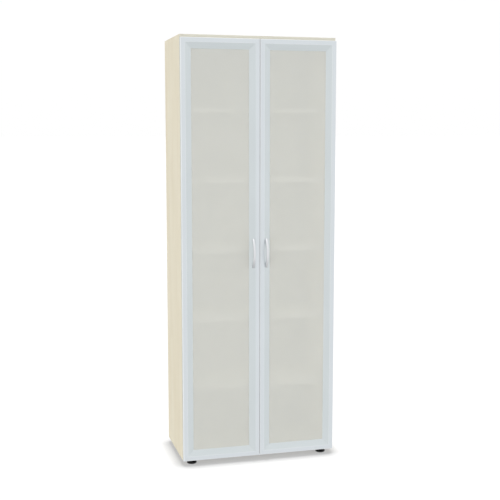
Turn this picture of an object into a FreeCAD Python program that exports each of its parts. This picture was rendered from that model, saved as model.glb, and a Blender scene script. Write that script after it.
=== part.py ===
"""Office bookcase, six file heights, with two doors of satin glass in aluminium frames.

Millimetres.  +Z is up and the doors face -Y.  The origin lies on the floor, in the middle of the
space that the cabinet takes with its handles.  The left half is modelled, and the right half is its
mirror image.
"""
import FreeCAD, Part
import Sketcher
import os
import re

COMPARTMENTS = 6
SHELVES = COMPARTMENTS - 1
FINE = 1e-6

SIZES = {
    # cabinet
    "cabinet_width": 800,
    "carcass_depth": 400,
    "shelf_pitch": 352,
    "board_thickness": 19,
    "edge_band": 1,
    # shelves and their pins
    "shelf_thickness": 19,
    "shelf_setback": 22,
    "shelf_side_gap": 1,
    "shelf_back_gap": 1,
    "row_pitch": 32,
    "front_row": 37,
    "rear_row": 60,
    "pin_diameter": 5,
    "pin_hole_depth": 12,
    "pin_reach": 9,
    "pin_tongue_width": 10,
    "pin_tongue_thickness": 1.5,
    # back panel in its groove
    "back_thickness": 8,
    "back_setback": 6.5,
    "groove_depth": 8,
    "groove_play": 0.2,
    "groove_end_play": 1,
    # cams, bolts and dowels between boards and sides
    "fitting_inset": 60,
    "bore_play": 0.1,
    "bolt_diameter": 5,
    "bolt_bite": 11,
    "bolt_head_diameter": 7,
    "bolt_head_length": 3,
    "cam_diameter": 15,
    "cam_depth": 13,
    "cam_inset": 24,
    "cam_slot_length": 10,
    "cam_slot_width": 1.5,
    "cam_slot_depth": 2,
    "dowel_diameter": 8,
    "dowel_side_depth": 10,
    "dowel_board_depth": 20,
    "dowel_end_play": 1,
    "dowel_chamfer": 1,
    # levelling feet
    "foot_height": 26,
    "foot_diameter": 50,
    "foot_pad_edge": 3,
    "foot_pad_height": 8,
    "foot_shoulder": 4,
    "foot_neck_diameter": 30,
    "foot_rest_gap": 0.3,
    "foot_stud_diameter": 10,
    "foot_stud_play": 0.05,
    "foot_socket_diameter": 6,
    "foot_socket_depth": 8,
    "foot_side_inset": 52,
    "foot_front_inset": 30,
    "foot_rear_inset": 40,
    "sleeve_flange_height": 6,
    "sleeve_diameter": 14,
    "sleeve_length": 15,
    "cap_diameter": 20,
    "cap_thickness": 1.5,
    "cap_plug": 3,
    # doors
    "door_thickness": 20,
    "door_gap": 2,
    "centre_gap": 1.5,
    "side_reveal": 1,
    "top_reveal": 16,
    "bottom_reveal": 1,
    # aluminium frame section
    "rim_width": 22,
    "rim_round": 2,
    "slope_width": 31,
    "slope_drop": 11,
    "lip_width": 8,
    "lip_thickness": 1.5,
    "profile_wall": 2,
    # glass and gasket
    "glass_thickness": 4,
    "glass_edge_gap": 1,
    "gasket_width": 5,
    "gasket_bevel": 1.5,
    # corner brackets
    "bracket_length": 60,
    "bracket_width": 18,
    "bracket_play": 0.3,
    # handle
    "handle_inset": 33.5,
    "handle_centre": 1079,
    "handle_hole_spacing": 128,
    "handle_length": 148,
    "handle_foot": 18,
    "handle_width": 12,
    "handle_reach": 28,
    "handle_bow": 7,
    "handle_round": 2.5,
    "handle_screw_diameter": 4,
    "handle_screw_bite": 5,
    "handle_screw_head": 8,
    "handle_screw_head_height": 2.4,
    # hinges
    "hinge_end": 110,
    "hinge_over_shelf": 50,
    "cup_inset": 22.5,
    "cup_diameter": 35,
    "cup_depth": 11,
    "cup_wall": 1,
    "cup_flange": 1,
    "cup_flange_diameter": 39,
    "cup_screw_spacing": 48,
    "cup_tab_width": 12,
    "cup_tab_length": 60,
    "cup_screw_diameter": 3.5,
    "cup_screw_length": 8,
    "cup_screw_head": 6.5,
    "cup_screw_head_height": 0.8,
    "plate_thickness": 3,
    "plate_width": 12,
    "plate_height": 52,
    "spine_thickness": 5,
    "spine_height": 15,
    "spine_length": 46,
    "plate_screw_diameter": 5,
    "plate_screw_bite": 11,
    "plate_screw_head": 8,
    "plate_screw_head_height": 1.5,
    "arm_length": 52,
    "arm_height": 9,
    "arm_width": 16,
    "arm_wall": 1.5,
    "arm_screw_inset": 12,
    "arm_screw_spacing": 26,
    "arm_screw_diameter": 4,
    "arm_screw_bite": 3,
    "arm_screw_head": 7,
    "arm_screw_head_height": 1.2,
    "nose_width": 12,
    "nose_thickness": 5.5,
    "nose_offset": 2.5,
    "nose_into_cup": 6.5,
    "link_thickness": 1.2,
    "link_width": 5,
    "link_play": 0.3,
    "link_pin_inset": 6,
    "link_pin_depth": 5.5,
    # bumpers
    "bumper_diameter": 8,
    "bumper_thickness": 1.7,
    "bumper_inset": 60,
}

FORMULAS = {
    "half_width": "cabinet_width / 2",
    "carcass_front": "(door_gap + door_thickness + handle_reach - carcass_depth) / 2",
    "carcass_height": f"{COMPARTMENTS} * shelf_pitch + board_thickness",
    "panel_depth": "carcass_depth - edge_band",
    "inner_width": "cabinet_width - 2 * board_thickness",
    "inner_height": "carcass_height - 2 * board_thickness",
    # places along Y, from the front of a board behind its edge band
    "groove_start": "panel_depth - back_setback - back_thickness - groove_play",
    "groove_width": "back_thickness + 2 * groove_play",
    "front_fitting": "fitting_inset - edge_band",
    "front_dowel": "fitting_inset + row_pitch - edge_band",
    "rear_dowel": "panel_depth - fitting_inset - row_pitch",
    "rear_fitting": "panel_depth - fitting_inset",
    # doors, seen in their own frame: outer, lower, front corner
    "door_front": "carcass_front - door_gap - door_thickness",
    "door_bottom": "foot_height + bottom_reveal",
    "door_width": "half_width - side_reveal - centre_gap / 2",
    "door_height": "carcass_height - top_reveal - bottom_reveal",
    "profile_width": "rim_width + slope_width",
    "rebate": "profile_width - lip_width",
    "glass_face": "slope_drop + lip_thickness",
    "glass_inset": "rebate + glass_edge_gap",
    "slope_rise": "slope_drop / slope_width",
    "slope_wall": "profile_wall * sqrt(1 + slope_rise * slope_rise)",
    "round_via": "rim_round * (1 - sqrt(0.5))",
    "handle_x": "door_width - handle_inset",
    "handle_z": "handle_centre - door_bottom",
    # hinges
    "hinge_low": "hinge_end",
    "hinge_lower_middle": "foot_height + 2 * shelf_pitch + shelf_thickness + hinge_over_shelf"
                          " - door_bottom",
    "hinge_upper_middle": "door_height - hinge_lower_middle",
    "hinge_high": "door_height - hinge_end",
    "cup_radius": "cup_diameter / 2",
    "arm_start": "front_row - spine_length / 2",
    "front_arm_screw": "arm_start + arm_screw_inset",
    "rear_arm_screw": "front_arm_screw + arm_screw_spacing",
}
HINGES = ("hinge_low", "hinge_lower_middle", "hinge_upper_middle", "hinge_high")
ARM_SCREWS = ("front_arm_screw", "rear_arm_screw")


# ---------------------------------------------------------------- document, sheet and formulas
doc = FreeCAD.newDocument("GlassDoorBookcase")
sheet = doc.addObject("Spreadsheet::Sheet", "Sizes")
for row, (alias, number) in enumerate(SIZES.items(), start=1):
    sheet.set(f"A{row}", alias.replace("_", " "))
    sheet.set(f"B{row}", str(number))
    sheet.setAlias(f"B{row}", alias)
doc.recompute()

nodes = []


def expression(formula):
    """Write a formula of size names as a FreeCAD expression on the sheet."""
    def swap(match):
        word = match.group(0)
        if word in FORMULAS:
            return f"({expression(FORMULAS[word])})"
        if word in SIZES:
            return f"Sizes.{word}"
        return word
    return re.sub(r"[a-z][a-z_]*", swap, str(formula))


def value(formula):
    """Return a formula's number as the sheet has it now."""
    return float(sheet.evalExpression(expression(formula)))


def bind(thing, prop, formula):
    """Tie a property to the sheet."""
    thing.setExpression(prop, expression(formula))


def place(thing, x=0, y=0, z=0):
    """Tie an object's position to the sheet."""
    bind(thing, "Placement.Base.x", x)
    bind(thing, "Placement.Base.y", y)
    bind(thing, "Placement.Base.z", z)
    return thing


def turn(thing, axis, degrees):
    """Turn an object about an axis through its own origin."""
    thing.Placement.Rotation = FreeCAD.Rotation(FreeCAD.Vector(*axis), degrees)
    return thing


def keep(thing):
    """List a finished object as one of the cabinet's sub-parts."""
    nodes.append(thing)
    return thing


# ---------------------------------------------------------------- sketches and features
def new_body(label):
    body = doc.addObject("PartDesign::Body", label)
    body.Label = label
    return body


def sketch_on(body, name, plane, offset=0):
    """Start a sketch on one of the body's own origin planes, moved along the plane's normal."""
    sketch = body.newObject("Sketcher::SketchObject", name)
    support = next(item for item in body.Origin.OriginFeatures if item.Role == plane)
    sketch.AttachmentSupport = [(support, "")]
    sketch.MapMode = "FlatFace"
    bind(sketch, "AttachmentOffset.Base.z", offset)
    return sketch


def pin_point(sketch, edge, point, x, y):
    """Tie a point of the sketch to formulas."""
    for kind, formula in (("DistanceX", x), ("DistanceY", y)):
        number = sketch.addConstraint(Sketcher.Constraint(kind, -1, 1, edge, point, value(formula)))
        bind(sketch, f"Constraints[{number}]", formula)


def add_circle(sketch, x, y, diameter):
    centre = FreeCAD.Vector(value(x), value(y), 0)
    axis = FreeCAD.Vector(0, 0, 1)
    edge = sketch.addGeometry(Part.Circle(centre, axis, value(diameter) / 2))
    pin_point(sketch, edge, 3, x, y)
    number = sketch.addConstraint(Sketcher.Constraint("Diameter", edge, value(diameter)))
    bind(sketch, f"Constraints[{number}]", diameter)


def add_outline(sketch, corners):
    """Draw a closed outline.  A corner is (x, y), or (x, y, via_x, via_y) for an arc that ends there."""
    spots = [FreeCAD.Vector(value(corner[0]), value(corner[1]), 0) for corner in corners]
    edges = []
    for index, corner in enumerate(corners):
        start = spots[index - 1]
        end = spots[index]
        if len(corner) == 2:
            edges.append(sketch.addGeometry(Part.LineSegment(start, end)))
            continue
        via = FreeCAD.Vector(value(corner[2]), value(corner[3]), 0)
        arc = Part.Arc(start, via, end)
        edges.append(sketch.addGeometry(arc))
    for index, corner in enumerate(corners):
        edge = edges[index]
        following = edges[(index + 1) % len(edges)]
        end_point = end_of(sketch, edge, spots[index])
        start_point = end_of(sketch, following, spots[index])
        sketch.addConstraint(Sketcher.Constraint("Coincident", edge, end_point, following, start_point))
        pin_point(sketch, edge, end_point, corner[0], corner[1])
        if len(corner) == 4:
            bulge = sketch.addGeometry(Part.Point(FreeCAD.Vector(value(corner[2]), value(corner[3]), 0)))
            sketch.setConstruction(bulge, True)
            pin_point(sketch, bulge, 1, corner[2], corner[3])
            sketch.addConstraint(Sketcher.Constraint("PointOnObject", bulge, 1, edge))


def end_of(sketch, edge, spot):
    """Say which end of an edge, 1 or 2, lies at a spot: an arc's ends follow its own sense."""
    first = (sketch.getPoint(edge, 1) - spot).Length
    second = (sketch.getPoint(edge, 2) - spot).Length
    return 1 if first < second else 2


def add_rectangle(sketch, x, y, width, height):
    right = f"{x} + {width}"
    upper = f"{y} + {height}"
    add_outline(sketch, [(x, y), (right, y), (right, upper), (x, upper)])


def add_pad(body, sketch, length, both_ways=False):
    pad = body.newObject("PartDesign::Pad", f"{sketch.Name}_pad")
    pad.Profile = sketch
    pad.Midplane = both_ways
    bind(pad, "Length", length)
    body.Tip = pad
    return pad


def add_pocket(body, sketch, depth=None, towards_normal=False):
    """Cut a sketch out of the body, to a depth or right through, and make sure that it cuts."""
    doc.recompute()
    before = body.Shape.Volume
    pocket = body.newObject("PartDesign::Pocket", f"{sketch.Name}_cut")
    pocket.Profile = sketch
    pocket.Reversed = towards_normal
    if depth is None:
        pocket.Type = "ThroughAll"
    else:
        bind(pocket, "Length", depth)
    body.Tip = pocket
    doc.recompute()
    if body.Shape.Volume > before - FINE:
        raise RuntimeError(f"{pocket.Name} cuts nothing")
    return pocket


def add_turned(body, name, corners):
    """Turn a closed outline of (radius, height) about the body's Z axis."""
    sketch = sketch_on(body, name, "XZ_Plane")
    add_outline(sketch, corners)
    turned = body.newObject("PartDesign::Revolution", f"{name}_turned")
    turned.Profile = sketch
    turned.ReferenceAxis = (sketch, ["V_Axis"])
    body.Tip = turned
    return turned


# ---------------------------------------------------------------- plain solids, copies and mirror images
def box(name, length, width, height, x=0, y=0, z=0):
    solid = doc.addObject("Part::Box", name)
    bind(solid, "Length", length)
    bind(solid, "Width", width)
    bind(solid, "Height", height)
    return place(solid, x, y, z)


def rod(name, diameter, length, x=0, y=0, z=0, along="Z"):
    """A round bar that starts at a point and runs along one axis."""
    solid = doc.addObject("Part::Cylinder", name)
    bind(solid, "Radius", f"({diameter}) / 2")
    bind(solid, "Height", length)
    if along == "X":
        turn(solid, (0, 1, 0), 90)
    if along == "Y":
        turn(solid, (1, 0, 0), -90)
    return place(solid, x, y, z)


def fuse(name, pieces):
    joined = doc.addObject("Part::MultiFuse", name)
    joined.Shapes = pieces
    joined.Refine = True
    return joined


def cut(name, base, tool):
    rest = doc.addObject("Part::Cut", name)
    rest.Base = base
    rest.Tool = tool
    return rest


def copies(label, master, places):
    """Group separate copies of one piece.  A place is (x, y, z) or (x, y, z, axis, degrees)."""
    links = []
    for number, spot in enumerate(places, start=1):
        link = doc.addObject("App::Link", f"{label}_{number}")
        link.LinkedObject = master
        link.LinkTransform = True
        if len(spot) == 5:
            turn(link, spot[3], spot[4])
        place(link, *spot[:3])
        links.append(link)
    group = doc.addObject("Part::Compound", label)
    group.Label = label
    group.Links = links
    return group


def mirrored(source):
    """Make the right-hand twin of a left-hand sub-part."""
    label = source.Label.replace("left", "right")
    twin = doc.addObject("Part::Mirroring", label)
    twin.Label = label
    twin.Source = source
    twin.Normal = FreeCAD.Vector(1, 0, 0)
    return twin


def keep_pair(left):
    keep(left)
    keep(mirrored(left))


# ---------------------------------------------------------------- carcass
def fitting_spots():
    """Where bolts and dowels cross from a board into a side, from the front of the board."""
    bolts = ("front_fitting", "rear_fitting")
    dowels = ("front_dowel", "rear_dowel")
    return bolts, dowels


def side_panel():
    body = new_body("side_panel_left")
    place(body, "-half_width", "carcass_front + edge_band", "foot_height")
    outline = sketch_on(body, "side_outline", "YZ_Plane")
    add_rectangle(outline, "0", "0", "panel_depth", "carcass_height")
    add_pad(body, outline, "board_thickness")

    groove = sketch_on(body, "side_groove", "YZ_Plane", "board_thickness")
    add_rectangle(groove, "groove_start", "board_thickness - groove_depth",
                  "groove_width", "inner_height + 2 * groove_depth")
    add_pocket(body, groove, "groove_depth")

    bolts, dowels = fitting_spots()
    bolt_holes = sketch_on(body, "side_bolt_holes", "YZ_Plane", "board_thickness")
    dowel_holes = sketch_on(body, "side_dowel_holes", "YZ_Plane", "board_thickness")
    for level in ("board_thickness / 2", "carcass_height - board_thickness / 2"):
        for spot in bolts:
            add_circle(bolt_holes, spot, level, "bolt_diameter + bore_play")
        for spot in dowels:
            add_circle(dowel_holes, spot, level, "dowel_diameter + bore_play")
    add_pocket(body, bolt_holes, "bolt_bite + dowel_end_play")
    add_pocket(body, dowel_holes, "dowel_side_depth + dowel_end_play")

    plate_holes = sketch_on(body, "side_plate_holes", "YZ_Plane", "board_thickness")
    for hinge in HINGES:
        for way in (-1, 1):
            level = f"{hinge} + bottom_reveal + {way} * row_pitch / 2"
            add_circle(plate_holes, "front_row - edge_band", level, "plate_screw_diameter + bore_play")
    add_pocket(body, plate_holes, "plate_screw_bite + dowel_end_play")

    rows = sketch_on(body, "side_pin_rows", "YZ_Plane", "board_thickness")
    for spot in ("front_row - edge_band", "panel_depth - rear_row"):
        for step in (-1, 0, 1):
            level = f"shelf_pitch - pin_diameter / 2 + {step} * row_pitch"
            add_circle(rows, spot, level, "pin_diameter + bore_play")
    first = add_pocket(body, rows, "pin_hole_depth")
    levels = body.newObject("PartDesign::LinearPattern", "side_pin_levels")
    levels.Originals = [first]
    levels.Direction = (rows, ["V_Axis"])
    bind(levels, "Length", f"{SHELVES - 1} * shelf_pitch")
    levels.Occurrences = SHELVES
    body.Tip = levels
    return body


def cross_board(label, level, upper):
    """Top or bottom board: between the sides, grooved for the back panel, bored for its fittings."""
    body = new_body(label)
    place(body, "board_thickness - half_width", "carcass_front + edge_band", level)
    outline = sketch_on(body, f"{label}_outline", "XY_Plane")
    add_rectangle(outline, "0", "0", "inner_width", "panel_depth")
    add_pad(body, outline, "board_thickness")

    inner_face = "0" if upper else "board_thickness"
    groove = sketch_on(body, f"{label}_groove", "XY_Plane", inner_face)
    add_rectangle(groove, "0", "groove_start", "inner_width", "groove_width")
    add_pocket(body, groove, "groove_depth", towards_normal=upper)

    bolts, dowels = fitting_spots()
    cams = sketch_on(body, f"{label}_cam_bores", "XY_Plane")
    for x in ("cam_inset", "inner_width - cam_inset"):
        for spot in bolts:
            add_circle(cams, x, spot, "cam_diameter + bore_play")
    add_pocket(body, cams, "cam_depth", towards_normal=True)

    for end, plane_at in (("left", "0"), ("right", "inner_width")):
        bolt_bores = sketch_on(body, f"{label}_{end}_bolt_bores", "YZ_Plane", plane_at)
        dowel_bores = sketch_on(body, f"{label}_{end}_dowel_bores", "YZ_Plane", plane_at)
        for spot in bolts:
            add_circle(bolt_bores, spot, "board_thickness / 2", "bolt_head_diameter + bore_play")
        for spot in dowels:
            add_circle(dowel_bores, spot, "board_thickness / 2", "dowel_diameter + bore_play")
        inwards = end == "left"
        add_pocket(body, bolt_bores, "cam_inset", towards_normal=inwards)
        add_pocket(body, dowel_bores, "dowel_board_depth + dowel_end_play", towards_normal=inwards)
    return body


def bottom_board():
    body = cross_board("bottom_board", "foot_height", upper=False)
    sleeves = sketch_on(body, "bottom_sleeve_holes", "XY_Plane")
    for x in ("foot_side_inset - board_thickness", "inner_width + board_thickness - foot_side_inset"):
        for y in ("foot_front_inset - edge_band", "panel_depth - foot_rear_inset"):
            add_circle(sleeves, x, y, "sleeve_diameter + bore_play")
    add_pocket(body, sleeves, towards_normal=True)
    return body


def edge_band(label, length, height, x, z):
    band = box(label, length, "edge_band", height, x, "carcass_front", z)
    band.Label = label
    return band


def back_panel():
    panel = box("back_panel", "inner_width + 2 * (groove_depth - groove_end_play)", "back_thickness",
                "inner_height + 2 * (groove_depth - groove_end_play)",
                "board_thickness - half_width - groove_depth + groove_end_play",
                "carcass_front + carcass_depth - back_setback - back_thickness",
                "foot_height + board_thickness - groove_depth + groove_end_play")
    panel.Label = "back_panel"
    return panel


def shelf(number):
    label = f"shelf_{number}"
    depth = ("carcass_depth - shelf_setback - edge_band - back_setback - back_thickness"
             " - shelf_back_gap")
    board = box(label, "inner_width - 2 * shelf_side_gap", depth, "shelf_thickness",
                "board_thickness + shelf_side_gap - half_width",
                "carcass_front + shelf_setback + edge_band",
                f"foot_height + {number} * shelf_pitch")
    board.Label = label
    return board


def shelf_edges():
    band = box("shelf_edge", "inner_width - 2 * shelf_side_gap", "edge_band", "shelf_thickness")
    places = [("board_thickness + shelf_side_gap - half_width", "carcass_front + shelf_setback",
               f"foot_height + {number} * shelf_pitch") for number in range(1, SHELVES + 1)]
    return copies("shelf_edges", band, places)


def shelf_pins():
    """A round stud in the side, with a flat tongue under the shelf."""
    stud = rod("pin_stud", "pin_diameter", "pin_hole_depth - dowel_end_play + pin_reach",
               "dowel_end_play - pin_hole_depth", 0, "-pin_diameter / 2", along="X")
    tongue = box("pin_tongue", "pin_reach", "pin_tongue_width", "pin_tongue_thickness",
                 0, "-pin_tongue_width / 2", "-pin_tongue_thickness")
    pin = fuse("shelf_pin", [stud, tongue])
    places = []
    for number in range(1, SHELVES + 1):
        level = f"foot_height + {number} * shelf_pitch"
        for y in ("carcass_front + front_row", "carcass_front + carcass_depth - rear_row"):
            places.append(("board_thickness - half_width", y, level))
            places.append(("half_width - board_thickness", y, level, (0, 0, 1), 180))
    return copies("shelf_pins", pin, places)


def joint_places(spots):
    """Every crossing of a board's end and a side, as places for fittings along X."""
    levels = ("foot_height + board_thickness / 2", "foot_height + carcass_height - board_thickness / 2")
    places = []
    for level in levels:
        for spot in spots:
            y = f"carcass_front + edge_band + {spot}"
            places.append(("board_thickness - half_width", y, level))
            places.append(("half_width - board_thickness", y, level, (0, 0, 1), 180))
    return places


def cam_bolts():
    thread = rod("bolt_thread", "bolt_diameter", "bolt_bite + cam_inset - bolt_head_length",
                 "-bolt_bite", along="X")
    head = rod("bolt_head", "bolt_head_diameter", "bolt_head_length", "cam_inset - bolt_head_length",
               along="X")
    bolt = fuse("cam_bolt", [thread, head])
    return copies("cam_bolts", bolt, joint_places(fitting_spots()[0]))


def cams():
    """A turning cam, open on the bolt's side, with a screwdriver slot in its lower face."""
    disc = rod("cam_disc", "cam_diameter - bore_play", "cam_depth - bore_play",
               "cam_inset", 0, "-board_thickness / 2")
    mouth = rod("cam_mouth", "bolt_head_diameter + 2 * bore_play", "cam_inset + bore_play", along="X")
    slot = box("cam_slot", "cam_slot_width", "cam_slot_length", "cam_slot_depth",
               "cam_inset - cam_slot_width / 2", "-cam_slot_length / 2", "-board_thickness / 2")
    cam = cut("cam", disc, fuse("cam_cuts", [mouth, slot]))
    return copies("cams", cam, joint_places(fitting_spots()[0]))


def dowels():
    body = new_body("dowel")
    radius = "dowel_diameter / 2"
    length = "dowel_side_depth + dowel_board_depth"
    add_turned(body, "dowel_outline", [
        ("0", "0"),
        (f"{radius} - dowel_chamfer", "0"),
        (radius, "dowel_chamfer"),
        (radius, f"{length} - dowel_chamfer"),
        (f"{radius} - dowel_chamfer", length),
        ("0", length)])
    turn(body, (0, 1, 0), 90)
    place(body, "-dowel_side_depth")
    return copies("dowels", body, joint_places(fitting_spots()[1]))


def bumpers():
    pad = rod("bumper", "bumper_diameter", "bumper_thickness", 0, "-bumper_thickness", 0, along="Y")
    places = [(f"{side} * bumper_inset", "carcass_front", "foot_height + board_thickness / 2")
              for side in (-1, 1)]
    return copies("door_bumpers", pad, places)


# ---------------------------------------------------------------- levelling feet
FOOT_PLACES = {
    "front_left": ("foot_side_inset - half_width", "carcass_front + foot_front_inset"),
    "rear_left": ("foot_side_inset - half_width", "carcass_front + carcass_depth - foot_rear_inset"),
}
ALL_FEET = [(f"{side} * (half_width - foot_side_inset)", y)
            for side in (-1, 1) for _, y in FOOT_PLACES.values()]


def foot(name):
    """A round glide with its neck and threaded stud, turned in one piece."""
    body = new_body(f"foot_{name}")
    place(body, *FOOT_PLACES[name], 0)
    neck_top = "foot_height - sleeve_flange_height - foot_rest_gap"
    stud_top = "foot_height + sleeve_length"
    pad_top = "foot_pad_height + foot_shoulder"
    add_turned(body, f"foot_{name}_outline", [
        ("0", "0"),
        ("foot_diameter / 2 - foot_pad_edge", "0"),
        ("foot_diameter / 2", "foot_pad_edge"),
        ("foot_diameter / 2", "foot_pad_height"),
        ("foot_neck_diameter / 2", pad_top),
        ("foot_neck_diameter / 2", neck_top),
        ("foot_stud_diameter / 2", neck_top),
        ("foot_stud_diameter / 2", stud_top),
        ("foot_socket_diameter / 2", stud_top),
        ("foot_socket_diameter / 2", f"{stud_top} - foot_socket_depth"),
        ("0", f"{stud_top} - foot_socket_depth")])
    return body


def foot_sleeves():
    """A flanged sleeve nut, pressed up into the bottom board."""
    body = new_body("foot_sleeve")
    bore = "foot_stud_diameter / 2 + foot_stud_play"
    add_turned(body, "sleeve_outline", [
        (bore, "-sleeve_flange_height"),
        ("foot_diameter / 2", "-sleeve_flange_height"),
        ("foot_diameter / 2", "0"),
        ("sleeve_diameter / 2", "0"),
        ("sleeve_diameter / 2", "sleeve_length"),
        (bore, "sleeve_length")])
    return copies("foot_sleeves", body, [(x, y, "foot_height") for x, y in ALL_FEET])


def foot_hole_caps():
    lid = rod("cap_lid", "cap_diameter", "cap_thickness")
    plug = rod("cap_plug_rod", "sleeve_diameter - bore_play", "cap_plug", 0, 0, "-cap_plug")
    cap = fuse("foot_hole_cap", [lid, plug])
    level = "foot_height + board_thickness"
    return copies("foot_hole_caps", cap, [(x, y, level) for x, y in ALL_FEET])


# ---------------------------------------------------------------- doors
def on_door(thing):
    """Set an object, made in the door's frame, on the left door."""
    return place(thing, "side_reveal - half_width", "door_front", "door_bottom")


def slope_depth(inset):
    """How far the frame's front has sloped back at a distance from the door's edge."""
    return f"(({inset}) - rim_width) * slope_rise"


def frame_section(sketch, across, swap=False):
    """Draw the frame's hollow section.  across turns an inset from the door's edge into a coordinate."""
    wall = "profile_wall"
    inner_wall = "rebate - profile_wall"
    outside = [
        ("0", "rim_round"),
        ("rim_round", "0", "round_via", "round_via"),
        ("rim_width", "0"),
        ("profile_width", "slope_drop"),
        ("profile_width", "glass_face"),
        ("rebate", "glass_face"),
        ("rebate", "door_thickness"),
        ("0", "door_thickness")]
    chamber = [
        (wall, wall),
        (f"rim_width - (slope_wall - {wall}) / slope_rise", wall),
        (inner_wall, f"{slope_depth(inner_wall)} + slope_wall"),
        (inner_wall, f"door_thickness - {wall}"),
        (wall, f"door_thickness - {wall}")]
    for outline in (outside, chamber):
        corners = []
        for spot in outline:
            corner = []
            for inset, depth in zip(spot[::2], spot[1::2]):
                corner += (depth, across(inset)) if swap else (across(inset), depth)
            corners.append(tuple(corner))
        add_outline(sketch, corners)


def mitre(body, name, corners):
    """Cut a member's two ends at 45 degrees."""
    sketch = sketch_on(body, name, "XZ_Plane")
    for triangle in corners:
        add_outline(sketch, triangle)
    add_pocket(body, sketch)


def stile(label, meeting):
    """Upright frame member."""
    body = new_body(label)
    on_door(body)
    across = (lambda inset: f"door_width - ({inset})") if meeting else (lambda inset: inset)
    section = sketch_on(body, f"{label}_section", "XY_Plane")
    frame_section(section, across)
    add_pad(body, section, "door_height")
    reach = "profile_width + profile_wall"
    edge = across("0")
    inner = across(reach)
    mitre(body, f"{label}_mitres", [
        [(edge, "0"), (inner, "0"), (inner, reach)],
        [(edge, "door_height"), (inner, "door_height"), (inner, f"door_height - ({reach})")]])
    return body


def hinge_stile():
    body = stile("door_left_hinge_stile", meeting=False)
    cups = sketch_on(body, "cup_bores", "XZ_Plane", "-door_thickness")
    screws = sketch_on(body, "cup_screw_bores", "XZ_Plane", "-door_thickness")
    for hinge in HINGES:
        add_circle(cups, "cup_inset", hinge, "cup_diameter + bore_play")
        for way in (-1, 1):
            add_circle(screws, "cup_inset", f"{hinge} + {way} * cup_screw_spacing / 2",
                       "cup_screw_diameter + bore_play")
    add_pocket(body, cups, "cup_depth", towards_normal=True)
    add_pocket(body, screws, "profile_wall", towards_normal=True)
    return body


def meeting_stile():
    body = stile("door_left_meeting_stile", meeting=True)
    screws = sketch_on(body, "handle_screw_bores", "XZ_Plane")
    for way in (-1, 1):
        add_circle(screws, "handle_x", f"handle_z + {way} * handle_hole_spacing / 2",
                   "handle_screw_diameter + bore_play")
    add_pocket(body, screws)
    return body


def rail(label, upper):
    """Level frame member."""
    body = new_body(label)
    on_door(body)
    across = (lambda inset: f"door_height - ({inset})") if upper else (lambda inset: inset)
    section = sketch_on(body, f"{label}_section", "YZ_Plane")
    frame_section(section, across, swap=True)
    add_pad(body, section, "door_width")
    reach = "profile_width + profile_wall"
    edge = across("0")
    inner = across(reach)
    mitre(body, f"{label}_mitres", [
        [("0", edge), ("0", inner), (reach, inner)],
        [("door_width", edge), ("door_width", inner), (f"door_width - ({reach})", inner)]])
    return body


def glass():
    pane = box("door_left_glass", "door_width - 2 * glass_inset", "glass_thickness",
               "door_height - 2 * glass_inset", "side_reveal - half_width + glass_inset",
               "door_front + glass_face", "door_bottom + glass_inset")
    pane.Label = "door_left_glass"
    return pane


def gasket():
    """A rubber glazing strip round the back of the glass, bevelled towards the opening."""
    body = new_body("door_left_gasket")
    on_door(body)
    glass_back = "glass_face + glass_thickness"
    ring = sketch_on(body, "gasket_ring", "XZ_Plane", f"-({glass_back})")
    for inset in ("rebate", "rebate + gasket_width"):
        add_rectangle(ring, inset, inset, f"door_width - 2 * ({inset})", f"door_height - 2 * ({inset})")
    strip = add_pad(body, ring, f"door_thickness - ({glass_back})")
    strip.Reversed = True
    doc.recompute()
    depth = value("door_thickness")
    inner = [value("rebate + gasket_width"), value("door_width - rebate - gasket_width")]
    level = [value("rebate + gasket_width"), value("door_height - rebate - gasket_width")]
    rims = []
    for number, edge in enumerate(strip.Shape.Edges, start=1):
        spot = edge.CenterOfMass
        at_back = abs(spot.y - depth) < FINE
        at_side = min(abs(spot.x - side) for side in inner) < FINE
        at_end = min(abs(spot.z - end) for end in level) < FINE
        if at_back and (at_side or at_end):
            rims.append(f"Edge{number}")
    bevel = body.newObject("PartDesign::Chamfer", "gasket_bevel")
    bevel.Base = (strip, rims)
    bind(bevel, "Size", "gasket_bevel")
    body.Tip = bevel
    return body


def corner_brackets():
    """An angle inside each corner of the hollow frame, which draws the mitre together."""
    body = new_body("door_left_corner_brackets")
    on_door(body)
    sketch = sketch_on(body, "bracket_outlines", "XZ_Plane", "-(profile_wall + bracket_play)")
    near = "profile_wall + bracket_play"
    thick = f"{near} + bracket_width"
    angle = [(near, near), ("bracket_length", near), ("bracket_length", thick),
             (thick, thick), (thick, "bracket_length"), (near, "bracket_length")]
    for right in (False, True):
        for upper in (False, True):
            corners = []
            for x, z in angle:
                across = f"door_width - ({x})" if right else x
                along = f"door_height - ({z})" if upper else z
                corners.append((across, along))
            add_outline(sketch, corners)
    angles = add_pad(body, sketch, "door_thickness - 2 * (profile_wall + bracket_play)")
    angles.Reversed = True
    return body


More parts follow.
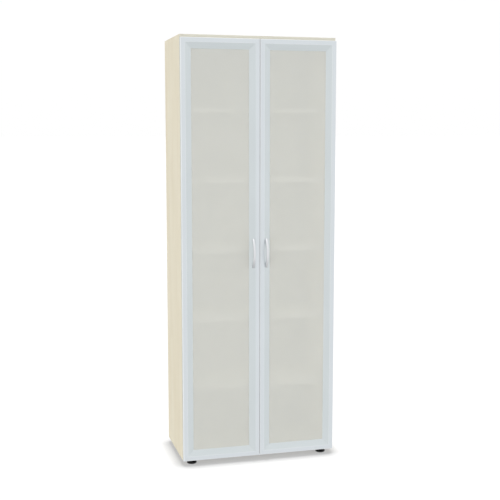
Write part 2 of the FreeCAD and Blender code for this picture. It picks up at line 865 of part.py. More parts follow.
def handle():
    """A bow between two feet, each cut to sit flat on the sloping part of the stile."""
    body = new_body("door_left_handle")
    on_door(body)
    half = "handle_length / 2"
    foot_end = f"({half} - handle_foot)"
    base = slope_depth("handle_inset + handle_width")
    profile = sketch_on(body, "handle_profile", "YZ_Plane", "handle_x")
    add_outline(profile, [
        ("0", f"handle_z - {half}"),
        ("0", f"handle_z + {half}", "-handle_reach", "handle_z"),
        (base, f"handle_z + {half}"),
        (base, f"handle_z + {foot_end}"),
        ("0", f"handle_z + {foot_end}"),
        ("0", f"handle_z - {foot_end}", "handle_bow - handle_reach", "handle_z"),
        (base, f"handle_z - {foot_end}"),
        (base, f"handle_z - {half}")])
    bow = add_pad(body, profile, "handle_width", both_ways=True)
    doc.recompute()
    arcs = [f"Edge{number}" for number, edge in enumerate(bow.Shape.Edges, start=1)
            if isinstance(edge.Curve, Part.Circle)]
    rounded = body.newObject("PartDesign::Fillet", "handle_rounding")
    rounded.Base = (bow, arcs)
    bind(rounded, "Radius", "handle_round")
    body.Tip = rounded

    seat = sketch_on(body, "handle_seat", "XY_Plane")
    nearer = "handle_inset - handle_width"
    further = "handle_inset + handle_width"
    behind = slope_depth("handle_inset + 2 * handle_width")
    add_outline(seat, [
        (f"door_width - ({nearer})", slope_depth(nearer)),
        (f"door_width - ({further})", slope_depth(further)),
        (f"door_width - ({further})", behind),
        (f"door_width - ({nearer})", behind)])
    add_pocket(body, seat, towards_normal=True)

    holes = sketch_on(body, "handle_screw_holes", "XZ_Plane", f"-({base})")
    for way in (-1, 1):
        add_circle(holes, "handle_x", f"handle_z + {way} * handle_hole_spacing / 2",
                   "handle_screw_diameter + bore_play")
    add_pocket(body, holes, f"{base} + handle_screw_bite", towards_normal=True)
    return body


def handle_screws():
    """Pan-head screws from inside the door."""
    shank = rod("handle_screw_shank", "handle_screw_diameter", "door_thickness + handle_screw_bite",
                0, "-handle_screw_bite", 0, along="Y")
    head = rod("handle_screw_pan", "handle_screw_head", "handle_screw_head_height",
               0, "door_thickness", 0, along="Y")
    screw = fuse("handle_screw", [shank, head])
    places = [("side_reveal - half_width + handle_x", "door_front",
               f"handle_centre + {way} * handle_hole_spacing / 2") for way in (-1, 1)]
    return copies("door_left_handle_screws", screw, places)


# ---------------------------------------------------------------- hinges
def hinge_places(x, y):
    return [(x, y, f"door_bottom + {hinge}") for hinge in HINGES]


def hinge_cups():
    """A drawn steel cup with a round flange and a screw tab above and below."""
    shell = rod("cup_shell", "cup_diameter", "cup_depth", 0, "-cup_depth", 0, along="Y")
    flange = rod("cup_rim", "cup_flange_diameter", "cup_flange", along="Y")
    tab = box("cup_tab", "cup_tab_width", "cup_flange", "cup_tab_length",
              "-cup_tab_width / 2", 0, "-cup_tab_length / 2")
    hollow = rod("cup_hollow", "cup_diameter - 2 * cup_wall", "cup_depth - cup_wall + cup_flange",
                 0, "cup_wall - cup_depth", 0, along="Y")
    holes = [rod(f"cup_hole_{number}", "cup_screw_diameter + bore_play", "cup_flange", 0, 0,
                 f"{way} * cup_screw_spacing / 2", along="Y") for number, way in enumerate((-1, 1))]
    cup = cut("hinge_cup", fuse("cup_outside", [shell, flange, tab]), fuse("cup_cuts", [hollow] + holes))
    places = hinge_places("side_reveal - half_width + cup_inset", "carcass_front - door_gap")
    return copies("door_left_hinge_cups", cup, places)


def cup_screws():
    shank = rod("cup_screw_shank", "cup_screw_diameter", "cup_screw_length",
                0, "cup_flange - cup_screw_length", 0, along="Y")
    head = rod("cup_screw_pan", "cup_screw_head", "cup_screw_head_height", 0, "cup_flange", 0, along="Y")
    screw = fuse("cup_screw", [shank, head])
    places = []
    for way in (-1, 1):
        for x, y, z in hinge_places("side_reveal - half_width + cup_inset", "carcass_front - door_gap"):
            places.append((x, y, f"{z} + {way} * cup_screw_spacing / 2"))
    return copies("door_left_cup_screws", screw, places)


def hinge_plates():
    """A mounting plate on the side: a cross wing for two screws, and a raised spine for the arm."""
    wing = box("plate_wing", "plate_thickness", "plate_width", "plate_height",
               0, "-plate_width / 2", "-plate_height / 2")
    spine = box("plate_spine", "spine_thickness", "spine_length", "spine_height",
                0, "-spine_length / 2", "-spine_height / 2")
    holes = [rod(f"plate_hole_{number}", "plate_screw_diameter + bore_play", "plate_thickness", 0, 0,
                 f"{way} * row_pitch / 2", along="X") for number, way in enumerate((-1, 1))]
    holes += [rod(f"spine_hole_{number}", "arm_screw_diameter + bore_play", "spine_thickness", 0,
                  f"{spot} - front_row", 0, along="X") for number, spot in enumerate(ARM_SCREWS)]
    plate = cut("hinge_plate", fuse("plate_outside", [wing, spine]), fuse("plate_cuts", holes))
    places = hinge_places("board_thickness - half_width", "carcass_front + front_row")
    return copies("hinge_plates_left", plate, places)


def plate_screws():
    shank = rod("plate_screw_shank", "plate_screw_diameter", "plate_screw_bite + plate_thickness",
                "-plate_screw_bite", along="X")
    head = rod("plate_screw_pan", "plate_screw_head", "plate_screw_head_height",
               "plate_thickness", along="X")
    screw = fuse("plate_screw", [shank, head])
    places = []
    for way in (-1, 1):
        for x, y, z in hinge_places("board_thickness - half_width", "carcass_front + front_row"):
            places.append((x, y, f"{z} + {way} * row_pitch / 2"))
    return copies("hinge_plate_screws_left", screw, places)


def hinge_arms():
    """A channel-shaped arm along the spine, with a narrower nose that reaches into the cup."""
    body = new_body("hinge_arm")
    under = "spine_thickness"
    over = "spine_thickness + arm_height"
    start = "arm_start"
    end = "arm_start + arm_length"
    tip = "-(door_gap + nose_into_cup)"
    side = sketch_on(body, "arm_side", "XY_Plane")
    add_outline(side, [
        (under, start),
        (over, start),
        (over, end),
        (under, end)])
    add_pad(body, side, "arm_width", both_ways=True)
    hollow = sketch_on(body, "arm_hollow", "XY_Plane", "arm_wall - arm_width / 2")
    add_rectangle(hollow, under, start, "arm_height - arm_wall", "arm_length")
    add_pocket(body, hollow, "arm_width - 2 * arm_wall", towards_normal=True)
    nose = sketch_on(body, "arm_nose", "XY_Plane")
    add_outline(nose, [
        ("nose_offset", tip),
        ("nose_offset + nose_thickness", tip),
        ("nose_offset + nose_thickness", "0"),
        (over, f"{start} - arm_wall"),
        (over, f"{start} + arm_wall"),
        (f"{over} - nose_thickness", f"{start} + arm_wall"),
        ("nose_offset", "nose_thickness")])
    add_pad(body, nose, "nose_width", both_ways=True)
    screws = sketch_on(body, "arm_screw_bores", "YZ_Plane", over)
    for spot in ARM_SCREWS:
        add_circle(screws, spot, "0", "arm_screw_diameter + bore_play")
    add_pocket(body, screws, "arm_wall")
    return copies("hinge_arms_left", body, hinge_places("board_thickness - half_width", "carcass_front"))


def arm_screws():
    """The side and depth screws, which draw each arm down onto its spine."""
    over = "spine_thickness + arm_height"
    shank = rod("arm_screw_shank", "arm_screw_diameter", "arm_height + arm_screw_bite",
                "spine_thickness - arm_screw_bite", along="X")
    head = rod("arm_screw_pan", "arm_screw_head", "arm_screw_head_height", over, along="X")
    screw = fuse("arm_screw", [shank, head])
    places = []
    for spot in ARM_SCREWS:
        places += hinge_places("board_thickness - half_width", f"carcass_front + {spot}")
    return copies("hinge_arm_screws_left", screw, places)


def hinge_links():
    """A stamped link: two cheeks beside the arm's nose, joined by a barrel inside the cup."""
    body = new_body("hinge_link")
    far_x = "cup_inset - cup_radius + link_pin_inset"
    far_y = "-link_pin_depth"
    near_x = "board_thickness - side_reveal + nose_offset + nose_thickness / 2"
    near_y = "-(nose_into_cup - link_width / 2)"
    radius = "link_width / 2"
    for number, way in enumerate((-1, 1)):
        inner = "nose_width / 2 + link_play"
        offset = inner if way > 0 else f"-({inner} + link_thickness)"
        cheek = sketch_on(body, f"link_cheek_{number}", "XY_Plane", offset)
        add_outline(cheek, [
            (near_x, f"{near_y} - {radius}"),
            (near_x, f"{near_y} + {radius}", f"{near_x} + {radius}", near_y),
            (far_x, f"{far_y} + {radius}"),
            (far_x, f"{far_y} - {radius}", f"{far_x} - {radius}", far_y)])
        add_pad(body, cheek, "link_thickness")
    barrel = sketch_on(body, "link_barrel", "XY_Plane")
    add_circle(barrel, far_x, far_y, "link_width")
    add_pad(body, barrel, "nose_width + 2 * link_play", both_ways=True)
    places = hinge_places("side_reveal - half_width", "carcass_front - door_gap")
    return copies("hinge_links_left", body, places)


# ---------------------------------------------------------------- the cabinet
keep_pair(side_panel())
keep(cross_board("top_board", "foot_height + carcass_height - board_thickness", upper=True))
keep(bottom_board())
keep_pair(edge_band("side_edge_left", "board_thickness", "carcass_height", "-half_width", "foot_height"))
keep(edge_band("top_edge", "inner_width", "board_thickness", "board_thickness - half_width",
               "foot_height + carcass_height - board_thickness"))
keep(edge_band("bottom_edge", "inner_width", "board_thickness", "board_thickness - half_width",
               "foot_height"))
keep(back_panel())
for level_number in range(1, SHELVES + 1):
    keep(shelf(level_number))
keep(shelf_edges())
keep(shelf_pins())
keep(cam_bolts())
keep(cams())
keep(dowels())
keep(bumpers())
for foot_name in FOOT_PLACES:
    keep_pair(foot(foot_name))
keep(foot_sleeves())
keep(foot_hole_caps())
for make in (hinge_stile, meeting_stile, glass, gasket, corner_brackets, handle, handle_screws,
             hinge_cups, cup_screws, hinge_links, hinge_plates, plate_screws, hinge_arms, arm_screws):
    keep_pair(make())
keep_pair(rail("door_left_top_rail", upper=True))
keep_pair(rail("door_left_bottom_rail", upper=False))


# ---------------------------------------------------------------- check and write
doc.recompute()
for item in doc.Objects:
    if "Invalid" in item.State or "Error" in item.State:
        raise RuntimeError(f"{item.Label} failed: {item.State}")
os.makedirs("parts", exist_ok=True)
for node in nodes:
    if node.Shape.isNull() or not node.Shape.isValid() or not node.Shape.Solids:
        raise RuntimeError(f"{node.Label} has no sound shape")
    node.Shape.exportStep(f"parts/{node.Label}.step")
    print(f"{node.Label}: {len(node.Shape.Solids)} solid(s), {node.Shape.Volume / 1000:.1f} cm3")
print(len(nodes), "nodes")
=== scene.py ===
"""Looks of the bookcase with two satin-glass doors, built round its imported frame.

Metres.  +Z is up and the doors face -Y, as in the frame.  Every sub-assembly is a class: it models the
pieces that need a finer shape than the frame's, dresses the rest, and reports what it made.
"""

import logging
import math
from dataclasses import dataclass, field
from enum import Enum
from typing import Callable, ClassVar, Iterable, Sequence

import bmesh
import bpy
from mathutils import Matrix, Vector


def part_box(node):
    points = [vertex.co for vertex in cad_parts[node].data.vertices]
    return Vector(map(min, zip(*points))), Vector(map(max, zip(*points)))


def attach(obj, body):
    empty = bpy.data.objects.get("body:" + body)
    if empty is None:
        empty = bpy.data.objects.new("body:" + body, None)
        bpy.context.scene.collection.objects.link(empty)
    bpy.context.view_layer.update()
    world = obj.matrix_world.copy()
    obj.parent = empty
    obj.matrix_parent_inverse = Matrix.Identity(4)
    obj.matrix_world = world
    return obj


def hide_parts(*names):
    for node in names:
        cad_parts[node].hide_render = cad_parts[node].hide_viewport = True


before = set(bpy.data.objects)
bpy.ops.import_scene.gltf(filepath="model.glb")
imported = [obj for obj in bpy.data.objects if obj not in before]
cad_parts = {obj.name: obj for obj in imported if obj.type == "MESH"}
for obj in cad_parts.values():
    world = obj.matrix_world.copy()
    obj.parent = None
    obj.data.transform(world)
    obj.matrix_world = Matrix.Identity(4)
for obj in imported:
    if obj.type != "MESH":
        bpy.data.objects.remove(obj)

log = logging.getLogger("bookcase")

MM = 0.001
Colour = tuple[float, float, float]

# Two points are at the same place within SAME_PLACE, and loose vertices are merged over MERGE_REACH.
SAME_PLACE = 0.01 * MM
MERGE_REACH = 0.001 * MM
# Two faces are flat with each other below FLAT_WITHIN.  They meet in a fold above FOLD_FROM, and in the
# edge of a bar above RIDGE_FROM.
FLAT_WITHIN = math.radians(0.5)
FOLD_FROM = math.radians(17)
RIDGE_FROM = math.radians(60)
# A face looks along an axis when its normal has more than this much of it.
FACING = 0.7


class Side(Enum):
    """The two halves of the cabinet, as seen from the front, with the words that the nodes have."""

    LEFT = "left"
    RIGHT = "right"


class Along(Enum):
    """The direction that a grain, a brushing or an extrusion runs in."""

    X = 0
    Y = 1
    Z = 2


def colour(red: float, green: float, blue: float) -> Colour:
    """Turn a colour as a screen shows it, 0 to 255, into the linear one that a shader takes.

    Args:
        red: the screen's red.
        green: the screen's green.
        blue: the screen's blue.

    Returns:
        The three linear values, 0 to 1.
    """

    def linear(channel: float) -> float:
        """Undo the screen's curve for one channel."""
        share = channel / 255
        return share / 12.92 if share <= 0.04045 else ((share + 0.055) / 1.055) ** 2.4

    return linear(red), linear(green), linear(blue)


# ---------------------------------------------------------------- shader building
@dataclass
class Network:
    """A node tree with short ways to add and join nodes."""

    tree: bpy.types.NodeTree

    def add(self, kind: str, **settings: object) -> bpy.types.Node:
        """Add a node.

        Args:
            kind: the node's type, such as "ShaderNodeTexNoise".
            **settings: properties to set on it.

        Returns:
            The new node.
        """
        node = self.tree.nodes.new(kind)
        for name, setting in settings.items():
            setattr(node, name, setting)
        return node

    def feed(self, target: bpy.types.NodeSocket, source: object) -> None:
        """Give an input a link or a plain value.

        Args:
            target: the input.
            source: a socket to link, or the value.
        """
        if isinstance(source, bpy.types.NodeSocket):
            self.tree.links.new(source, target)
        else:
            target.default_value = source

    def maths(self, operation: str, first: object, second: object) -> bpy.types.NodeSocket:
        """Add a Math node.

        Args:
            operation: what it does, such as "ADD".
            first: its first socket or number.
            second: its second socket or number.

        Returns:
            The result's socket.
        """
        node = self.add("ShaderNodeMath", operation=operation)
        self.feed(node.inputs[0], first)
        self.feed(node.inputs[1], second)
        return node.outputs[0]

    def fit(self, value: object, low: float, high: float, new_low: float, new_high: float,
            smooth: bool = False) -> bpy.types.NodeSocket:
        """Map a value from one range to another and hold it there.

        Args:
            value: the socket or number to map.
            low: where the first range starts.
            high: where the first range ends.
            new_low: what low becomes.
            new_high: what high becomes.
            smooth: ease in and out of both ends.

        Returns:
            The mapped value's socket.
        """
        node = self.add("ShaderNodeMapRange", interpolation_type="SMOOTHSTEP" if smooth else "LINEAR")
        for name, number in zip(("Value", "From Min", "From Max", "To Min", "To Max"),
                                (value, low, high, new_low, new_high)):
            self.feed(node.inputs[name], number)
        return node.outputs["Result"]

    def blend(self, share: bpy.types.NodeSocket, first: Colour, second: Colour) -> bpy.types.NodeSocket:
        """Mix two colours by a share.

        Args:
            share: the socket that gives the share, 0 to 1.
            first: the colour at 0.
            second: the colour at 1.

        Returns:
            The mixture's socket.
        """
        node = self.add("ShaderNodeMix", data_type="RGBA")
        self.feed(node.inputs["Factor"], share)
        self.feed(node.inputs["A"], (*first, 1))
        self.feed(node.inputs["B"], (*second, 1))
        return node.outputs["Result"]

    def noise(self, vector: object, scale: object, detail: float, roughness: float = 0.5,
              distortion: float = 0.0) -> bpy.types.NodeSocket:
        """Add a noise texture.

        Args:
            vector: the socket that gives the place.
            scale: how many features there are to a metre, a socket or a number.
            detail: how many finer layers it has.
            roughness: how strong the finer layers are.
            distortion: how far the features are bent.

        Returns:
            The noise's socket, about 0 to 1.
        """
        node = self.add("ShaderNodeTexNoise")
        for name, source in (("Vector", vector), ("Scale", scale), ("Detail", detail),
                             ("Roughness", roughness), ("Distortion", distortion)):
            self.feed(node.inputs[name], source)
        return node.outputs["Fac"]

    def stretched(self, vector: object, scale: Sequence[float],
                  move: Sequence[float] = (0, 0, 0)) -> bpy.types.NodeSocket:
        """Scale and move a vector with a Mapping node.

        Args:
            vector: the socket that gives the vector.
            scale: the factor along each axis.
            move: what is added along each axis.

        Returns:
            The new vector's socket.
        """
        node = self.add("ShaderNodeMapping")
        self.feed(node.inputs["Vector"], vector)
        node.inputs["Location"].default_value = move
        node.inputs["Scale"].default_value = scale
        return node.outputs["Vector"]

    def mixed(self, share: bpy.types.NodeSocket, first: bpy.types.NodeSocket,
              second: bpy.types.NodeSocket) -> bpy.types.NodeSocket:
        """Mix two shaders by a share.

        Args:
            share: the socket that gives the share, 0 to 1.
            first: the shader at 0.
            second: the shader at 1.

        Returns:
            The mixture's socket.
        """
        node = self.add("ShaderNodeMixShader")
        for place, source in enumerate((share, first, second)):
            self.feed(node.inputs[place], source)
        return node.outputs[0]


def new_group(name: str, inputs: Iterable[tuple[str, str]], outputs: Iterable[tuple[str, str]]
              ) -> tuple[bpy.types.NodeTree, Network, bpy.types.Node, bpy.types.Node]:
    """Start a shader node group.

    Args:
        name: the group's name.
        inputs: the name and socket type of each input.
        outputs: the name and socket type of each output.

    Returns:
        The group, a network on it, its input node and its output node.
    """
    group = bpy.data.node_groups.new(name, "ShaderNodeTree")
    for in_out, sockets in (("INPUT", inputs), ("OUTPUT", outputs)):
        for label, kind in sockets:
            group.interface.new_socket(label, in_out=in_out, socket_type=kind)
    network = Network(group)
    return group, network, network.add("NodeGroupInput"), network.add("NodeGroupOutput")


# ---------------------------------------------------------------- effects that several finishes share
# Most of what a noise texture gives lies in this range.
NOISE_RANGE = (0.3, 0.7)


def board_figure_group() -> bpy.types.NodeTree:
    """Build the figure of a pale, straight-grained veneer print, with the grain along Z.

    Returns:
        A group that takes a Vector in metres and gives Figure, 0 pale to 1 dark, and Relief.
    """
    group, net, start, end = new_group("board_figure", [("Vector", "NodeSocketVector")],
                                       [("Figure", "NodeSocketFloat"), ("Relief", "NodeSocketFloat")])
    vector = start.outputs["Vector"]
    drift = net.noise(net.stretched(vector, (1, 1, 0.25)), scale=7, detail=2, distortion=0.6)
    streaks = net.noise(net.stretched(vector, (1, 1, 0.02)), scale=55, detail=3, roughness=0.6,
                        distortion=0.3)
    fibres = net.noise(net.stretched(vector, (1, 1, 0.012), (3, 1, 2)), scale=420, detail=2)
    drift_share, streak_share, fibre_share = 0.4, 0.42, 0.18
    broad = net.maths("MULTIPLY", net.fit(drift, *NOISE_RANGE, 0, 1, smooth=True), drift_share)
    middle = net.maths("MULTIPLY", net.fit(streaks, *NOISE_RANGE, 0, 1), streak_share)
    fine = net.maths("MULTIPLY", net.fit(fibres, *NOISE_RANGE, 0, 1), fibre_share)
    net.feed(end.inputs["Figure"], net.maths("ADD", net.maths("ADD", broad, middle), fine))
    net.feed(end.inputs["Relief"], fibres)
    return group


def drawn_lines_group() -> bpy.types.NodeTree:
    """Build the fine lines that drawing or brushing leaves on metal, along Z.

    Returns:
        A group that takes a Vector in metres and gives Lines and Cloud, both about 0 to 1.
    """
    group, net, start, end = new_group("drawn_lines", [("Vector", "NodeSocketVector")],
                                       [("Lines", "NodeSocketFloat"), ("Cloud", "NodeSocketFloat")])
    vector = start.outputs["Vector"]
    lines = net.noise(net.stretched(vector, (1, 1, 0.004)), scale=1400, detail=2)
    cloud = net.noise(net.stretched(vector, (1, 1, 0.3)), scale=12, detail=2)
    net.feed(end.inputs["Lines"], net.fit(lines, 0.25, 0.75, 0, 1))
    net.feed(end.inputs["Cloud"], net.fit(cloud, *NOISE_RANGE, 0, 1, smooth=True))
    return group


def fine_speckle_group() -> bpy.types.NodeTree:
    """Build the even speckle of a moulded, etched or plated surface.

    Returns:
        A group that takes a Vector and a Scale and gives Speckle and Cloud, both about 0 to 1.
    """
    group, net, start, end = new_group("fine_speckle",
                                       [("Vector", "NodeSocketVector"), ("Scale", "NodeSocketFloat")],
                                       [("Speckle", "NodeSocketFloat"), ("Cloud", "NodeSocketFloat")])
    vector = start.outputs["Vector"]
    speckle = net.noise(vector, scale=start.outputs["Scale"], detail=2)
    cloud = net.noise(vector, scale=9, detail=2)
    net.feed(end.inputs["Speckle"], net.fit(speckle, *NOISE_RANGE, 0, 1))
    net.feed(end.inputs["Cloud"], net.fit(cloud, 0.35, 0.65, 0, 1, smooth=True))
    return group


BOARD_FIGURE = board_figure_group()
DRAWN_LINES = drawn_lines_group()
FINE_SPECKLE = fine_speckle_group()

# The turn that takes each direction to Z, along which the shared groups run.
TURN_TO_Z = {Along.X: (0, math.radians(90), 0), Along.Y: (math.radians(90), 0, 0), Along.Z: (0, 0, 0)}


# ---------------------------------------------------------------- finishes
@dataclass(frozen=True)
class Finish:
    """A surface finish: two tones, and a fine texture that shows in its gloss and relief.

    Its material is built once, on first use.  The constants tell the kinds of surface apart: fine_range is
    where the fine texture's values lie, gloss_span is what they add to the roughness, and relief_share is
    how much of the texture's depth shows.
    """

    name: str
    roughness: float
    tone: Colour
    shade: Colour
    depth: float
    along: Along = Along.Z

    metallic: ClassVar[float] = 0
    specular: ClassVar[float] = 0.5
    fine_range: ClassVar[tuple[float, float]] = (0, 1)
    gloss_span: ClassVar[tuple[float, float]] = (-0.05, 0.05)
    relief_share: ClassVar[float] = 0.4

    def material(self) -> bpy.types.Material:
        """Find the finish's material, or build it.

        Returns:
            The material.
        """
        known = bpy.data.materials.get(self.name)
        if known is not None:
            return known
        material = bpy.data.materials.new(self.name)
        material.use_nodes = True
        self.wire(Network(material.node_tree), material.node_tree.nodes["Principled BSDF"])
        return material

    def wire(self, net: Network, shader: bpy.types.Node) -> None:
        """Let the texture show in the tone, the gloss and the relief.

        Args:
            net: the material's network.
            shader: the material's shader.
        """
        share, fine = self.texture(net)
        smoother, rougher = (self.roughness + change for change in self.gloss_span)
        net.feed(shader.inputs["Base Color"], net.blend(share, self.tone, self.shade))
        net.feed(shader.inputs["Roughness"], net.fit(fine, *self.fine_range, smoother, rougher))
        shader.inputs["Metallic"].default_value = self.metallic
        shader.inputs["Specular IOR Level"].default_value = self.specular
        bump = net.add("ShaderNodeBump")
        bump.inputs["Strength"].default_value = self.relief_share
        bump.inputs["Distance"].default_value = self.depth
        net.feed(bump.inputs["Height"], fine)
        net.feed(shader.inputs["Normal"], bump.outputs["Normal"])

    def texture(self, net: Network) -> tuple[bpy.types.NodeSocket, bpy.types.NodeSocket]:
        """Give the share of the second tone, 0 to 1, and the fine texture."""
        raise NotImplementedError

    def effect(self, net: Network, group: bpy.types.NodeTree) -> bpy.types.Node:
        """Place one of the shared groups in the material, turned so that the finish runs along its Z.

        Args:
            net: the material's network.
            group: the shared group.

        Returns:
            The group's node.
        """
        turned = net.add("ShaderNodeMapping")
        net.feed(turned.inputs["Vector"], net.add("ShaderNodeTexCoord").outputs["Object"])
        turned.inputs["Rotation"].default_value = TURN_TO_Z[self.along]
        node = net.add("ShaderNodeGroup", node_tree=group)
        net.feed(node.inputs["Vector"], turned.outputs["Vector"])
        return node


@dataclass(frozen=True)
class BoardFinish(Finish):
    """Melamine-faced board with a pale birch print, whose depth is that of the fibres."""

    specular: ClassVar[float] = 0.35
    fine_range: ClassVar[tuple[float, float]] = NOISE_RANGE
    gloss_span: ClassVar[tuple[float, float]] = (-0.05, 0.07)
    relief_share: ClassVar[float] = 0.35

    def texture(self, net: Network) -> tuple[bpy.types.NodeSocket, bpy.types.NodeSocket]:
        """Give the figure of the print, and its fibres."""
        figure = self.effect(net, BOARD_FIGURE)
        return figure.outputs["Figure"], figure.outputs["Relief"]


@dataclass(frozen=True)
class MetalFinish(Finish):
    """Drawn, brushed or plated metal, whose depth is that of its lines."""

    metallic: ClassVar[float] = 1
    gloss_span: ClassVar[tuple[float, float]] = (-0.04, 0.06)
    cloud_share: ClassVar[float] = 0.6

    def texture(self, net: Network) -> tuple[bpy.types.NodeSocket, bpy.types.NodeSocket]:
        """Give soft clouds with some of the lines in them, and the lines.

        Args:
            net: the material's network.

        Returns:
            The socket of the clouds and the socket of the lines.
        """
        drawn = self.effect(net, DRAWN_LINES)
        lines = drawn.outputs["Lines"]
        soft = net.maths("MULTIPLY", drawn.outputs["Cloud"], self.cloud_share)
        hard = net.maths("MULTIPLY", lines, 1 - self.cloud_share)
        return net.maths("ADD", soft, hard), lines


@dataclass(frozen=True)
class SectionFinishes:
    """The anodised finishes of one drawn section: its flat rim, its slope with a painted shade and its
    rounded edges with a painted highlight.
    """

    rim: MetalFinish
    slope: MetalFinish
    edge: MetalFinish


def anodised(word: str, along: Along) -> SectionFinishes:
    """Make the finishes of the sections that are drawn along one direction.

    Args:
        word: tells the materials' names apart.
        along: the direction.

    Returns:
        The three finishes.
    """
    return SectionFinishes(
        MetalFinish(f"anodised_rim_{word}", 0.36, colour(219, 225, 229), colour(216, 222, 226),
                    0.01 * MM, along),
        # The slope: the rim's metal in darker tones, a painted shade.
        MetalFinish(f"anodised_slope_painted_shade_{word}", 0.38, colour(213, 220, 222), colour(209, 216, 218),
                    0.01 * MM, along),
        # The rounded edges and sides: near white and glossier, a painted highlight.
        MetalFinish(f"anodised_edge_painted_highlight_{word}", 0.16, colour(252, 253, 254), colour(248, 250, 252),
                    0.006 * MM, along))


@dataclass(frozen=True, kw_only=True)
class MouldedFinish(Finish):
    """Moulded or extruded plastic or rubber with an even speckle, so many times to a metre."""

    speckle: float

    specular: ClassVar[float] = 0.4
    gloss_span: ClassVar[tuple[float, float]] = (-0.06, 0.06)
    relief_share: ClassVar[float] = 0.5

    def texture(self, net: Network) -> tuple[bpy.types.NodeSocket, bpy.types.NodeSocket]:
        """Give soft clouds, and the speckle.

        Args:
            net: the material's network.

        Returns:
            The socket of the clouds and the socket of the speckle.
        """
        even = self.effect(net, FINE_SPECKLE)
        even.inputs["Scale"].default_value = self.speckle
        return even.outputs["Cloud"], even.outputs["Speckle"]


@dataclass(frozen=True, kw_only=True)
class SatinGlassFinish(MouldedFinish):
    """Glass etched until it hides most of what lies behind, while light still comes through."""

    cover: float
    light_stopped: float

    specular: ClassVar[float] = 0.3
    gloss_span: ClassVar[tuple[float, float]] = (-0.05, 0.05)
    relief_share: ClassVar[float] = 0.3

    def wire(self, net: Network, shader: bpy.types.Node) -> None:
        """Cover what lies behind by a share, once for each pass through the pane.

        Args:
            net: the material's network.
            shader: the material's shader.
        """
        super().wire(net, shader)
        path = net.add("ShaderNodeLightPath")
        seen = net.maths("MAXIMUM", path.outputs["Is Camera Ray"], path.outputs["Is Glossy Ray"])
        stopped = net.fit(seen, 0, 1, self.light_stopped, self.cover)
        behind = net.add("ShaderNodeNewGeometry").outputs["Backfacing"]
        net.feed(shader.inputs["Alpha"], net.maths("MULTIPLY", stopped, net.fit(behind, 0, 1, 1, 0)))


FIBRE_DEPTH = 0.05 * MM
BIRCH_PALE = colour(226, 219, 197)
BIRCH_DARK = colour(215, 205, 178)
# The shelves and the bottom board are paler than the sides: painted light, as if their tops were lit from
# above.
SHELF_PALE_PAINTED_LIGHT = colour(249, 246, 232)
SHELF_DARK_PAINTED_LIGHT = colour(243, 237, 217)
# The shelves' front bands are much darker than the other bands: painted shade.
SHELF_BAND_PALE_PAINTED_SHADE = colour(177, 170, 153)
SHELF_BAND_DARK_PAINTED_SHADE = colour(169, 161, 142)
# The back panel is darker than the sides: painted shade.
BACK_PALE_PAINTED_SHADE = colour(197, 190, 171)
BACK_DARK_PAINTED_SHADE = colour(181, 173, 152)
BAND_PALE = colour(220, 217, 202)
BAND_DARK = colour(212, 208, 193)

BIRCH_UPRIGHT = BoardFinish("birch_upright", 0.5, BIRCH_PALE, BIRCH_DARK, FIBRE_DEPTH)
BIRCH_LEVEL = BoardFinish("birch_level", 0.5, BIRCH_PALE, BIRCH_DARK, FIBRE_DEPTH, Along.X)
# Paler birch for the shelves and the bottom board: painted light on their tops.
BIRCH_SHELF_PAINTED_LIGHT = BoardFinish("birch_shelf_painted_light", 0.5, SHELF_PALE_PAINTED_LIGHT, SHELF_DARK_PAINTED_LIGHT, FIBRE_DEPTH, Along.X)
# Darker birch for the back panel: painted shade.
BIRCH_BACK_PAINTED_SHADE = BoardFinish("birch_back_painted_shade", 0.6, BACK_PALE_PAINTED_SHADE, BACK_DARK_PAINTED_SHADE, FIBRE_DEPTH)
BAND_UPRIGHT = BoardFinish("birch_band_upright", 0.42, BAND_PALE, BAND_DARK, FIBRE_DEPTH)
BAND_LEVEL = BoardFinish("birch_band_level", 0.42, BAND_PALE, BAND_DARK, FIBRE_DEPTH, Along.X)
# Darker birch for the shelves' front bands: painted shade.
BAND_SHELF_PAINTED_SHADE = BoardFinish("birch_band_shelf_painted_shade", 0.42, SHELF_BAND_PALE_PAINTED_SHADE, SHELF_BAND_DARK_PAINTED_SHADE, FIBRE_DEPTH, Along.X)
BEECH = BoardFinish("beech_turned", 0.6, colour(214, 186, 148), colour(192, 160, 120), FIBRE_DEPTH, Along.X)
ANODISED_UPRIGHT = anodised("upright", Along.Z)
ANODISED_LEVEL = anodised("level", Along.X)
SATIN_NICKEL = MetalFinish("satin_nickel_brushed", 0.3, colour(233, 234, 236), colour(222, 224, 227),
                           0.01 * MM)
NICKEL_SHEET = MetalFinish("nickel_sheet", 0.24, colour(214, 212, 208), colour(200, 198, 194),
                           0.006 * MM, Along.Y)
ZINC_PLATE = MetalFinish("zinc_plate", 0.32, colour(206, 207, 210), colour(188, 190, 196), 0.006 * MM)
SATIN_GLASS = SatinGlassFinish("satin_etched_glass", 0.55, colour(223, 225, 220), colour(222, 224, 219),
                               0.02 * MM, speckle=900, cover=0.76, light_stopped=0.1)
BLACK_PLASTIC = MouldedFinish("black_moulded", 0.42, colour(18, 18, 19), colour(26, 26, 27),
                              0.03 * MM, speckle=2200)
CREAM_PLASTIC = MouldedFinish("cream_moulded", 0.4, colour(226, 219, 196), colour(220, 213, 189),
                              0.02 * MM, speckle=1800)
CLEAR_BUMPER = MouldedFinish("clear_bumper_soft", 0.3, colour(222, 226, 228), colour(214, 219, 222),
                             0.01 * MM, speckle=600)
GREY_RUBBER = MouldedFinish("grey_rubber_matt", 0.7, colour(118, 121, 122), colour(104, 107, 109),
                            0.04 * MM, speckle=1600)


def dress(node: str, finish: Finish) -> None:
    """Give a frame node its finish in all its material slots.

    Args:
        node: the node's name.
        finish: the finish that it takes.
    """
    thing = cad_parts[node]
    for slot in thing.material_slots:
        slot.material = finish.material()
    log.info("%s: kept, with %s", node, finish.name)


